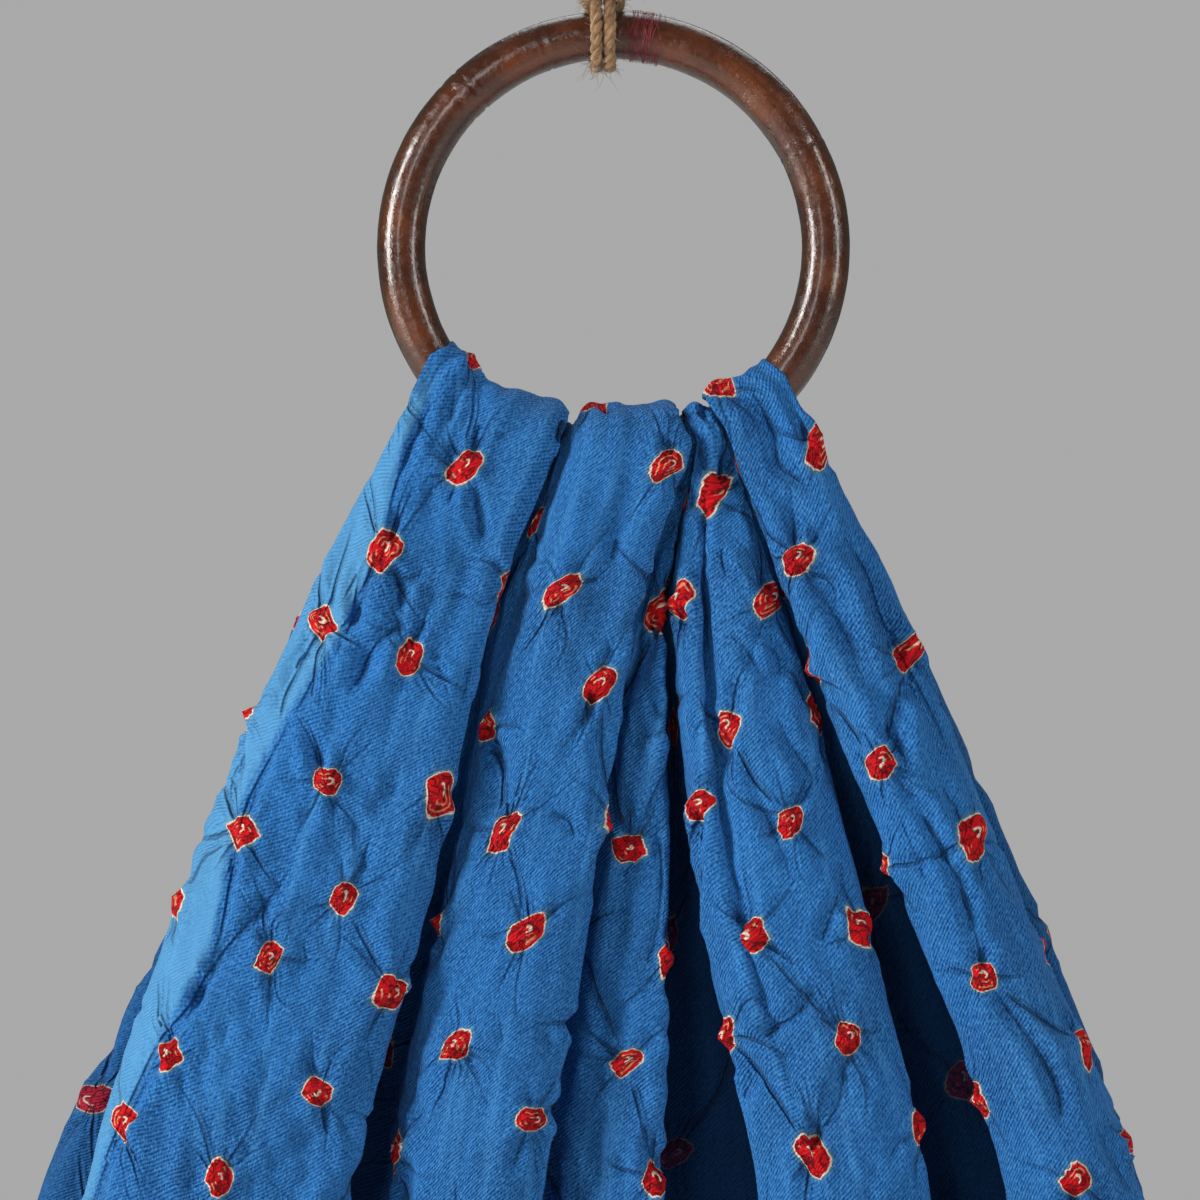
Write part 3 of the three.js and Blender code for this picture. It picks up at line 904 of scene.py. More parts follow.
@dataclass
class Twine:
    """The doubled jute twine, hitched round the top of the ring and knotted above."""

    diameter: float = 2.4 * MM
    length: float = 0.156
    plies: int = 3
    ply_radius: float = 0.72 * MM
    ply_offset: float = 0.64 * MM
    lay: float = 7.0 * MM
    step: float = 0.45 * MM
    ply_sides: int = 9
    seed: int = 5
    hairs: int = 1500
    long_hair_every: int = 14
    exit_along: float = 27 * MM
    knot_twist: float = 1.3
    # The middle of the twine from under the knot, round the ring, through the hitch and back, in millimetres.
    route: tuple[tuple[float, float, float], ...] = (
        (-1.25, 0, 4.8), (-2.4, 0, 1.0), (-2.6, 0, -2.5), (-2.9, -0.6, -10), (-3.4, -1.6, -17),
        (-3.6, -3.0, -21.8), (-3.6, -5.6, -26.6), (-3.6, -6.7, -31.1), (-3.6, -4.7, -35.8),
        (-3.6, 0, -37.8), (-3.7, 4.7, -35.8), (-3.9, 6.7, -31.1), (-4.6, 5.4, -26.4),
        (-5.5, 1.8, -24.2), (-5.3, -3.2, -23.2), (-3.9, -6.0, -22.4), (-2.2, -6.6, -22.2),
        (-0.5, -6.0, -22.4), (0.9, -3.2, -23.2), (1.1, 1.8, -24.2), (0.2, 5.4, -26.4),
        (-0.5, 6.7, -31.1), (-0.7, 4.7, -35.8), (-0.8, 0, -37.8), (-0.8, -4.7, -35.8),
        (-0.8, -6.7, -31.1), (-0.8, -5.6, -26.6), (-0.8, -3.0, -21.8), (-0.2, -1.6, -17),
        (0.9, -0.6, -10), (2.2, 0, -2.5), (2.4, 0, 1.0), (1.25, 0, 4.8),
    )
    # One end's way through the knot: up its middle, down round it and up again into a short tail.
    knot_rise: tuple[tuple[float, float, float], ...] = (
        (-0.9, 0.0, 4.4), (-0.7, 0.3, 7.2), (0.2, 0.3, 10.4), (2.2, -0.6, 12.2),
    )
    knot_tail: tuple[tuple[float, float, float], ...] = (
        (1.4, 1.2, 6.6), (0.9, 0.9, 9.5), (0.8, 0.4, 12.6), (1.5, -0.2, 15.4), (3.0, -0.9, 18.4),
    )
    knot_turns: float = 1.35
    knot_radius: float = 2.9
    knot_top: float = 11.6
    knot_bottom: float = 6.4

    def centre_line(self) -> np.ndarray:
        """Evenly spaced points of the twine's middle, in metres."""
        points = np.array(self.route) * MM
        fine = smooth_through(points, np.linspace(0, len(points) - 1, 1500))
        count = int(lengths_along(fine)[-1] / self.step)
        return evenly_spaced(fine, np.linspace(0, lengths_along(fine)[-1], count))

    def _twist(self, batch: TubeBatch, line: np.ndarray, ripple: Ripple, start: float) -> None:
        """Adds the plies of one length of twine, twisted round its middle.

        Args:
            batch: takes the tubes.
            line: the twine's middle.
            ripple: makes each ply swell and thin.
            start: the twist at the first point, in radians.
        """
        first, second = batch.frames(line)
        along = lengths_along(line)
        for ply in range(self.plies):
            turn = start + along / self.lay * 2 * math.pi + ply / self.plies * 2 * math.pi
            swell = ripple.at(along * 160, np.full_like(along, ply * 3.7 + start))
            offset = self.ply_offset * (1 + 0.12 * swell)
            aside = first * np.cos(turn)[:, None] + second * np.sin(turn)[:, None]
            batch.add(line + aside * offset[:, None], self.ply_radius * (1 + 0.14 * swell), self.ply_sides)

    def _knot_line(self, mirror: bool) -> np.ndarray:
        """The middle of one end in the knot.

        Args:
            mirror: True for the other end, which is turned half round.

        Returns:
            Evenly spaced points, in metres.
        """
        turn = np.linspace(0, self.knot_turns * 2 * math.pi, 16)
        height = np.interp(turn, (0, turn[-1]), (self.knot_top, self.knot_bottom))
        turned = turn - 0.5
        coil = np.column_stack([self.knot_radius * np.cos(turned), self.knot_radius * np.sin(turned), height])
        points = np.concatenate([np.array(self.knot_rise), coil, np.array(self.knot_tail)]) * MM
        if mirror:
            points = points * (-1, -1, 1)
            points[:, 2] += (self.diameter * 0.45) * np.where(points[:, 2] > 0, 1, 0)
        fine = smooth_through(points, np.linspace(0, len(points) - 1, 500))
        total = lengths_along(fine)[-1]
        return evenly_spaced(fine, np.linspace(0, total, int(total / self.step)))

    def _hair(
        self, rng: np.random.Generator, start: np.ndarray, along: np.ndarray, out: np.ndarray, long: float
    ) -> np.ndarray:
        """One stray fibre that leaves the twine and curls.

        Args:
            rng: the piece's own dice.
            start: where it leaves.
            along: the way the twine runs there.
            out: the way out of the twine there.
            long: its length.

        Returns:
            Its points.
        """
        steps = 9
        way = along * rng.choice((-1, 1)) * rng.uniform(0.5, 1.2)
        way = way + out * rng.uniform(0.3, 1.0) + rng.normal(0, 0.25, 3)
        bend = rng.normal(0, 0.55, 3)
        points = [start]
        for _ in range(steps):
            way = way + bend * 0.28 + rng.normal(0, 0.12, 3)
            way = way / np.linalg.norm(way)
            points.append(points[-1] + way * long / steps)
        return np.array(points)

    def build_fuzz(self, line: np.ndarray, finish: bpy.types.Material) -> bpy.types.Object:
        """Stray fibres all over the twine, a few of them long.

        Args:
            line: the twine's middle.
            finish: the jute.

        Returns:
            The piece.
        """
        rng = np.random.default_rng(self.seed)
        batch = TubeBatch()
        first, second = batch.frames(line)
        tangents = np.gradient(line, axis=0) / self.step
        for number in range(self.hairs):
            at = int(rng.integers(2, len(line) - 2))
            angle = rng.uniform(0, 2 * math.pi)
            out = first[at] * math.cos(angle) + second[at] * math.sin(angle)
            long = rng.uniform(0.9, 3.2) * MM if number % self.long_hair_every else rng.uniform(4.0, 8.0) * MM
            hair = self._hair(rng, line[at] + out * self.diameter * 0.42, tangents[at], out, long)
            thin = np.linspace(0.055, 0.02, len(hair)) * MM
            batch.add(hair, thin, 3)
        return mount_piece(batch.build("twine_fuzz"), finish)

    def build(self, shared: SharedEffects) -> list[bpy.types.Object]:
        """Args:
            shared: the shader groups.

        Returns:
            The three pieces.
        """
        finish = Jute().material(shared)
        ripple = Ripple(self.seed)
        line = self.centre_line()
        batch = TubeBatch()
        self._twist(batch, line, ripple, 0.0)
        twine = mount_piece(batch.build("twine_strands"), finish)
        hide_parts("twine")
        knots = TubeBatch()
        for mirror in (False, True):
            self._twist(knots, self._knot_line(mirror), ripple, self.knot_twist)
        knot = mount_piece(knots.build("twine_top_knot"), finish)
        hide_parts("twine_knot")
        fuzz = self.build_fuzz(line, finish)
        log.info("twine %.1f mm long", lengths_along(line)[-1] / MM)
        return [twine, knot, fuzz]


@dataclass
class RedThreads:
    """A loose winding of fine red thread on the ring, beside the twine."""

    ring_radius: float = RING_RADIUS
    tube_radius: float = WOOD_RADIUS
    ring_z: float = RING_Z
    fibres: int = 70
    first_x: float = 1.8 * MM
    middle_x: float = 6.6 * MM
    spread: float = 2.3 * MM
    seed: int = 21

    def build(self, shared: SharedEffects) -> bpy.types.Object:
        """Makes the fibres as one piece.

        Args:
            shared: the shader groups.

        Returns:
            The piece.
        """
        rng = np.random.default_rng(self.seed)
        batch = TubeBatch()
        for _ in range(self.fibres):
            across = max(self.first_x, float(rng.normal(self.middle_x, self.spread)))
            turn = np.linspace(0, rng.uniform(1.2, 5.5), 34) + rng.uniform(0, 2 * math.pi)
            wander = np.cumsum(rng.normal(0, 0.11, len(turn))) * MM
            lift = (0.10 + 0.35 * np.abs(np.sin(turn * rng.uniform(0.7, 2.0) + rng.uniform(0, 6)))) * MM
            place = across + wander
            angle = place / self.ring_radius
            reach = self.tube_radius + lift
            out = self.ring_radius + reach * np.cos(turn)
            height = self.ring_z + out * np.cos(angle)
            line = np.column_stack([out * np.sin(angle), reach * np.sin(turn), height])
            batch.add(line, np.full(len(line), rng.uniform(0.025, 0.045) * MM), 3)
        return mount_piece(batch.build("red_thread_wisps"), RedThread().material(shared))


# Ring

@dataclass(frozen=True)
class Crack:
    """A line in the varnish across the ring: its place in degrees round from the top, and its size."""

    angle: float
    slant: float
    width: float
    depth: float


@dataclass
class Ring:
    """The turned wooden ring, its section a little uneven, with cracks in its varnish."""

    outer_diameter: float = 100 * MM
    section: float = 10.2 * MM
    centre_z: float = RING_Z
    sides: int = 64
    steps: int = 400
    seed: int = 3
    cracks: tuple[Crack, ...] = (
        Crack(-19.0, 0.5, 0.35 * MM, 0.16 * MM),
        Crack(-42.0, -0.7, 0.40 * MM, 0.22 * MM),
        Crack(-46.5, 0.9, 0.55 * MM, 0.12 * MM),
        Crack(62.0, 0.4, 0.40 * MM, 0.12 * MM),
        Crack(208.0, 0.3, 0.40 * MM, 0.15 * MM),
    )

    @property
    def tube_radius(self) -> float:
        """Half the section."""
        return self.section / 2

    @property
    def radius(self) -> float:
        """From the ring's centre to the middle of its section."""
        return self.outer_diameter / 2 - self.tube_radius

    def _relief(self, turn: np.ndarray, round_section: np.ndarray) -> np.ndarray:
        """How far the varnish stands off a true round section.

        Args:
            turn: the place round the ring, in radians from the top towards +X.
            round_section: the place round the section, in radians from the outside.

        Returns:
            The distance at each point, negative in dents and cracks.
        """
        ripple = Ripple(self.seed)
        arc = turn * self.radius
        girth = round_section * self.tube_radius
        relief = 0.10 * MM * ripple.at(arc * 90, np.sin(round_section) * 0.7 + 5)
        wrap = np.sin(round_section) * self.tube_radius
        deep = np.cos(round_section) * self.tube_radius
        relief += 0.035 * MM * ripple.at(arc * 380, wrap * 380 + deep * 120)
        for crack in self.cracks:
            away = (turn - math.radians(crack.angle)) * self.radius - crack.slant * 0.5 * MM * np.sin(
                girth * 420 + crack.angle
            )
            relief -= crack.depth * np.exp(-((away / crack.width) ** 2))
            relief += 0.35 * crack.depth * np.exp(-(((np.abs(away) - 2.2 * crack.width) / crack.width) ** 2))
        return relief

    def build(self, shared: SharedEffects) -> bpy.types.Object:
        """Spins the section round the ring's axis and works its surface.

        Args:
            shared: the shader groups.

        Returns:
            The piece.
        """
        mesh = bmesh.new()
        section = bmesh.ops.create_circle(mesh, segments=self.sides, radius=self.tube_radius)
        bmesh.ops.translate(mesh, verts=section["verts"], vec=(self.radius, 0, 0))
        bmesh.ops.spin(
            mesh,
            geom=list(mesh.edges),
            cent=(0, 0, 0),
            axis=(0, 1, 0),
            angle=2 * math.pi,
            steps=self.steps,
            use_merge=True,
        )
        bmesh.ops.recalc_face_normals(mesh, faces=mesh.faces)
        obj = object_from_bmesh("wooden_ring", mesh)
        data = obj.data
        points = np.empty(len(data.vertices) * 3)
        data.vertices.foreach_get("co", points)
        points = points.reshape(-1, 3)
        turn = np.arctan2(points[:, 0], points[:, 2])
        centre = np.column_stack([np.sin(turn), np.zeros_like(turn), np.cos(turn)]) * self.radius
        out = (points - centre) / self.tube_radius
        outwards = np.column_stack([np.sin(turn), np.zeros_like(turn), np.cos(turn)])
        round_section = np.arctan2(out[:, 1], (out * outwards).sum(-1))
        relief = self._relief(turn, round_section)
        points = centre + out * (self.tube_radius + relief)[:, None]
        points[:, 2] += self.centre_z
        data.vertices.foreach_set("co", points.ravel())
        data.update()
        self._mark(data, turn, round_section)
        piece = mount_piece(obj, Lacquer().material(shared))
        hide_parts("ring")
        return piece

    def _mark(self, data: bpy.types.Mesh, turn: np.ndarray, round_section: np.ndarray) -> None:
        """Writes the flat UV map and the attributes: painted shade at the section's inside and outside edges,
        and worn.

        Args:
            data: the ring's mesh.
            turn: the place round the ring of each vertex.
            round_section: the place round the section of each vertex.
        """
        corners = np.empty(len(data.loops), int)
        data.loops.foreach_get("vertex_index", corners)
        first = corners.reshape(-1, 4)
        flat = np.stack([turn[first], round_section[first]], axis=-1)
        for axis in range(2):
            wraps = flat[..., axis].max(axis=1) - flat[..., axis].min(axis=1) > math.pi
            flat[..., axis] += 2 * math.pi * (wraps[:, None] & (flat[..., axis] < 0))
        flat *= (self.radius, self.tube_radius)
        write_flat(data, flat)
        # Painted shade at the section's inside and outside edges.
        write_mark(data, "edge_painted_shade", "POINT", fade(np.abs(np.cos(round_section)), 0.55, 1.0))
        right = np.exp(-(((turn - math.radians(42)) / 0.55) ** 2))
        left = 0.8 * np.exp(-(((turn + math.radians(48)) / 0.22) ** 2))
        write_mark(data, "worn", "POINT", np.clip(right + left, 0, 1))


# Cloth

@dataclass(frozen=True)
class FoldLine:
    """One fold line of the cloth, in millimetres as it hangs.

    arc and lift place it over the ring, along the ring's centreline from the bottom and off the wood.
    panel is the number of the panel that it lies on, or 0 where the cloth is tucked behind one.
    The rest are x and depth (y) at the waist, the middle and the low level, in front and at the back.
    """

    name: str
    arc: float
    lift: float
    panel: int
    front_waist_x: float
    front_waist_y: float
    front_middle_x: float
    front_middle_y: float
    front_low_x: float
    front_low_y: float
    back_waist_x: float
    back_waist_y: float
    back_middle_x: float
    back_middle_y: float
    back_low_x: float
    back_low_y: float

    def station(self, face: Face, level: str, below: float) -> tuple[float, float, float]:
        """The point of the fold line at one level of one side, below the ring's centre."""
        side = face.name.lower()
        return (getattr(self, f"{side}_{level}_x"), getattr(self, f"{side}_{level}_y"), -below)


# One row for each fold line, from the left cut edge to the right one, in the order of FoldLine's fields.
# A program copied the rows from the part's source and numbered the panels; some were changed since.
FOLD_LINES = tuple(FoldLine(*row) for row in (
    ("left_cut_edge", -46.2, 1.1, 1, -64.2, -2, -87.5, 2, -105, 6, -63.4, 0.5, -86, 9.5, -111, 14),
    ("left_return", -45.7, 1.1, 1, -64.6, -5.4, -91, -1.5, -110.4, 0, -64.2, 4.6, -90, 11, -120.5, 16),
    ("left_outline", -45, 1.1, 1, -64.2, -8, -91.4, -7, -111.4, -8, -64.2, 8, -91.5, 13, -122.5, 21),
    ("left_strip", -41, 1.1, 1, -58, -11.6, -82.5, -14.5, -103, -17, -60, 12, -86, 20.5, -114, 27.5),
    ("first_outer", -34, 1.6, 1, -48, -13.5, -67.5, -17, -86, -20, -53, 13.5, -76, 23.5, -99, 30.5),
    ("first_middle", -24, 4, 1, -36, -13.2, -54, -16.2, -69, -18.5, -43, 14, -64, 23, -86, 31.5),
    ("first_inner", -16, 5.3, 1, -28, -14.2, -45, -16.4, -60, -18.5, -35, 14, -55.5, 22, -76, 29.5),
    ("first_edge", -11.8, 4.2, 1, -24.2, -12, -38.8, -12.4, -55, -13.6, -30, 12.8, -49.5, 19.5, -69, 26),
    ("first_return", -14.2, 2.9, 0, -26, -9.6, -43.6, -5.2, -60.5, -4, -31.2, 9.4, -53, 14.8, -74.5, 20),
    ("first_floor_outer", -14.6, 1.7, 0, -26.2, -6.4, -43, -0.4, -59.5, 5, -31, 6.2, -51.6, 10, -72.5, 13.5),
    ("first_floor_inner", -12.7, 1.1, 0, -23.2, -5.8, -37.4, -0.2, -50.5, 7, -27.6, 6, -45.6, 9.8, -64, 13.2),
    ("second_left", -10.3, 2, 2, -20, -8.6, -34.6, -8.6, -44.5, -9, -23, 8.8, -40.2, 16, -57.5, 22),
    ("second_outer", -5, 5.2, 2, -13.4, -12.2, -26, -14.4, -36.5, -16.5, -16, 12.5, -31.5, 21.5, -47, 29.5),
    ("second_inner", 6, 6.7, 2, -3.4, -13.6, -13, -16.2, -25.5, -18.5, -7.6, 14, -20.6, 24, -33.5, 31.5),
    ("second_edge", 16.4, 4.6, 2, 5.8, -12, -4.4, -12.8, -15, -14.5, 1.2, 12.4, -10.4, 20.5, -22, 28),
    ("second_return", 14.8, 3.3, 0, 4.2, -9.4, -8.8, -7.2, -20.5, -6.5, -0.6, 9.4, -14, 14.6, -27.2, 20.5),
    ("second_floor", 14.2, 2, 0, 4.6, -6.8, -6.8, -2.8, -15, 0.5, -0.2, 6.8, -11.2, 9.6, -22, 12.5),
    ("third_left", 15.4, 1.2, 3, 7.4, -5.9, -1.4, -6.6, -8, -7.5, 3, 6.4, -6.4, 11, -15.5, 16),
    ("third_right", 17.6, 1.2, 3, 10.4, -7.2, 11.6, -9.4, 9.4, -9.5, 7.6, 7.4, 1.6, 14, -5.2, 20),
    ("third_return", 18.3, 1.1, 0, 10.4, -4.9, 10.4, 0, 6.5, 2, 8.2, 5, 0.8, 8.8, -6.8, 12.5),
    ("middle_gap_left", 18.9, 1.1, 0, 10.6, -2.8, 10.6, 7, 9, 13, 8.7, 3, 2.4, 4.8, -4.2, 6.5),
    ("middle_gap_right", 19.5, 1.1, 0, 12.9, -2.8, 18.6, 7.2, 30, 13.5, 9.7, 3, 6.4, 4.8, 3.2, 6.5),
    ("fourth_return", 20.3, 1.2, 0, 13.3, -5.2, 21.4, 0.2, 36, 1.5, 10.4, 5.4, 8.6, 11, 5, 16.5),
    ("fourth_left", 18.0, 2.5, 4, 13.4, -8.6, 18, -10, 31, -11, 10.4, 8.8, 6.4, 17, 1, 25),
    ("fourth_strip", 20.7, 2.6, 4, 15.6, -10.4, 21.6, -14.6, 38, -16.4, 14, 11.6, 12, 22, 9.5, 30.5),
    ("crease_left", 21.8, 2.0, 4, 18, -10.4, 24.4, -15.8, 42.2, -17.4, 17.6, 12, 16.8, 23, 15.4, 31.2),
    ("crease_floor", 22.3, 1.2, 4, 19.4, -6.4, 26.4, -14, 44.2, -17.2, 20, 11.4, 20, 22.6, 20, 31.4),
    ("crease_right", 22.8, 1.3, 4, 21, -10.4, 28.4, -16.2, 46.4, -17.8, 22.6, 12, 23.4, 23.2, 24.4, 32),
    ("fourth_inner", 23.4, 1.2, 4, 28.6, -10.8, 41.5, -17, 57, -18, 28, 12, 32, 22.8, 35.6, 31),
    ("fourth_edge", 24, 1.1, 4, 34.4, -8, 52, -11.6, 66.6, -13, 33, 9.8, 38.4, 18.6, 43.4, 26.5),
    ("fourth_far_return", 24.6, 1.1, 0, 35.6, -5.2, 51.4, -2, 64, -1, 34.4, 6.6, 39, 12, 42.4, 17),
    ("right_gap_left", 25.1, 1.2, 0, 36.6, -3.2, 52.6, 7, 67, 13, 35.6, 3.6, 40.6, 6.6, 45, 9),
    ("right_gap_right", 25.8, 1.5, 0, 38, -3.6, 62.4, 7, 83, 13, 37.4, 4, 46, 6.8, 54, 9),
    ("fifth_return", 27.2, 2, 0, 38.6, -7.4, 65.6, -1, 88.5, 1, 38.6, 7.6, 49.4, 13, 59.2, 18),
    ("fifth_left", 24.7, 3.5, 5, 36.8, -11.6, 61.4, -11.4, 83.4, -11, 37.4, 11.6, 46.8, 19, 55, 26),
    ("fifth_outer", 29.2, 3.2, 5, 42, -14, 67.4, -16.2, 92, -17.5, 45, 14.2, 57, 23.2, 68.5, 31),
    ("fifth_inner", 32.5, 2, 5, 49, -13.2, 76.4, -16.4, 102, -18, 52, 14, 69.4, 23, 86, 31),
    ("right_strip", 37, 1.3, 5, 55, -11, 82.4, -12.6, 108.5, -13.5, 56, 11.5, 79.4, 19.6, 101, 27),
    ("right_outline", 40.2, 1.1, 5, 59.2, -7.2, 85.6, -6, 111.5, -6, 60, 7.5, 88.4, 13.4, 112.5, 19.5),
    ("right_return", 40.9, 1.1, 5, 59.6, -4.8, 85.4, -0.6, 111, 0.5, 60, 5, 87.4, 9.6, 110.6, 14),
    ("right_cut_edge", 41.4, 1.1, 5, 58.6, -2, 81, 2.6, 103, 5.5, 58.6, 0.5, 81, 8, 100, 12),
))


class Turn(Enum):
    """Fold lines where the cloth turns out of sight."""

    OUTLINE = (
        "left_cut_edge", "left_return", "left_outline", "right_outline", "right_return", "right_cut_edge",
    )
    CREASE = ("crease_left", "crease_floor", "crease_right")
    EDGE = ("first_edge", "second_edge", "fourth_left", "fourth_edge", "fifth_left")


class Taper(Enum):
    """Where a crease dies away."""

    BOTH = "both ends"
    END = "its far end"


@dataclass(frozen=True)
class Crease:
    """A crease on one side of the cloth, as a soft trough along a smooth line, in millimetres.

    Its points are x and z on the hanging front, or across and along the flat cloth.
    """

    width: float
    depth: float
    points: tuple[tuple[float, float], ...]
    taper: Taper = Taper.BOTH

    def _line(self) -> np.ndarray:
        """Its smooth line, five steps to each given point, in metres."""
        points = np.array(self.points, float) * MM
        return smooth_through(points, np.linspace(0, len(points) - 1, 5 * (len(points) - 1) + 1))

    def near(self, places: np.ndarray) -> tuple[np.ndarray, np.ndarray, np.ndarray]:
        """The places that the crease reaches.

        Args:
            places: points on its plane, in metres.

        Returns:
            Their numbers, their signed distances from its line in metres, and its strength there.
        """
        line = self._line()
        reach = 4.5 * self.width * MM
        low, high = line.min(axis=0) - reach, line.max(axis=0) + reach
        chosen = np.flatnonzero(((places > low) & (places < high)).all(axis=-1))
        away, strength = self.measure(places[chosen], line)
        return chosen, away, strength

    def measure(self, places: np.ndarray, line: np.ndarray | None = None) -> tuple[np.ndarray, np.ndarray]:
        """How near places are to the crease.

        Args:
            places: points on its plane, in metres.
            line: its fine line where that is at hand already.

        Returns:
            Signed distances in metres from its line, and its strength there.
        """
        if line is None:
            line = self._line()
        start, way = line[:-1], np.diff(line, axis=0)
        long = np.linalg.norm(way, axis=1)
        offset = places[:, None] - start
        share = np.clip((offset * way).sum(-1) / long ** 2, 0, 1)
        gap = np.linalg.norm(offset - share[..., None] * way, axis=-1)
        best = gap.argmin(axis=1)
        row = np.arange(len(places))
        side = np.sign(way[best, 0] * offset[row, best, 1] - way[best, 1] * offset[row, best, 0])
        before = np.concatenate([[0.0], np.cumsum(long)])
        part = (before[best] + share[row, best] * long[best]) / before[-1]
        if self.taper is Taper.END:
            strength = (1 - part) ** 0.8 * fade(part, -0.1, 0.05)
        else:
            strength = fade(part, 0.0, 0.18) * fade(part, 1.0, 0.82)
        return side * gap[row, best], strength * self.depth * MM


class CreaseBook:
    """All creases: those of the ties on the flat cloth, and the placed ones on its hanging front."""

    depth_factor: tuple[float, float] = (1.0, 2.2)
    no_crease: float = 20.0

    def __init__(self, flat: list[Crease], front: list[Crease]) -> None:
        """Keeps each crease with the plane it lies on."""
        self.entries = [(crease, 0) for crease in flat] + [(crease, 1) for crease in front]

    def height(self, flat: np.ndarray, hanging: np.ndarray) -> np.ndarray:
        """How far the creases' troughs and soft shoulders move each point, in metres.

        Args:
            flat: the points' flat places.
            hanging: their x and z.

        Returns:
            The height of each point.
        """
        height = np.zeros(len(flat))
        for crease, plane in self.entries:
            chosen, away, strength = crease.near((flat, hanging)[plane])
            wide = np.abs(away) / (crease.width * MM)
            profile = 0.45 * np.exp(-(((wide - 2.0) / 1.0) ** 2)) - np.exp(-(wide ** 1.4))
            height[chosen] += self.depth_factor[plane] * strength * profile
        return height

    def grooves(self, flat: np.ndarray, hanging: np.ndarray) -> np.ndarray:
        """For each face corner the strongest crease near its face.

        Args:
            flat: the corners' flat places, by face and corner.
            hanging: their x and z.

        Returns:
            By face and corner: signed distance from the crease's line and its depth there, in
            millimetres, and 0.
        """
        planes = (flat, hanging)
        middles = tuple(plane.mean(axis=1) for plane in planes)
        best = np.zeros(len(flat))
        owner = np.full(len(flat), -1)
        for number, (crease, plane) in enumerate(self.entries):
            chosen, away, strength = crease.near(middles[plane])
            pull = strength * np.exp(-np.abs(away) / (crease.width * MM))
            wins = pull > best[chosen]
            best[chosen[wins]] = pull[wins]
            owner[chosen[wins]] = number
        grooves = np.zeros(flat.shape[:2] + (3,))
        grooves[..., 0] = self.no_crease
        order = np.argsort(owner, kind="stable")
        numbers, starts = np.unique(owner[order], return_index=True)
        for number, faces in zip(numbers, np.split(order, starts[1:])):
            if number < 0:
                continue
            crease, plane = self.entries[number]
            away, strength = crease.measure(planes[plane][faces].reshape(-1, 2))
            grooves[faces, :, 0] = away.reshape(-1, 4) / MM
            grooves[faces, :, 1] = strength.reshape(-1, 4) / MM
        return grooves


# The fold line beside the left outline, x and z in millimetres. Its places follow the photograph as far
# down as that shows it, and the last three are a guess.
STRIP_FOLD = (
    (-33.9, -98.3), (-37.7, -105.7), (-44.1, -118.1), (-49.6, -140.6), (-58.0, -158.7), (-68.2, -174.4),
    (-78.5, -194.0), (-84.5, -223.2), (-95.7, -244.4), (-106.2, -265.5), (-112.0, -285.0),
    (-122.0, -320.0), (-134.0, -370.0),
)
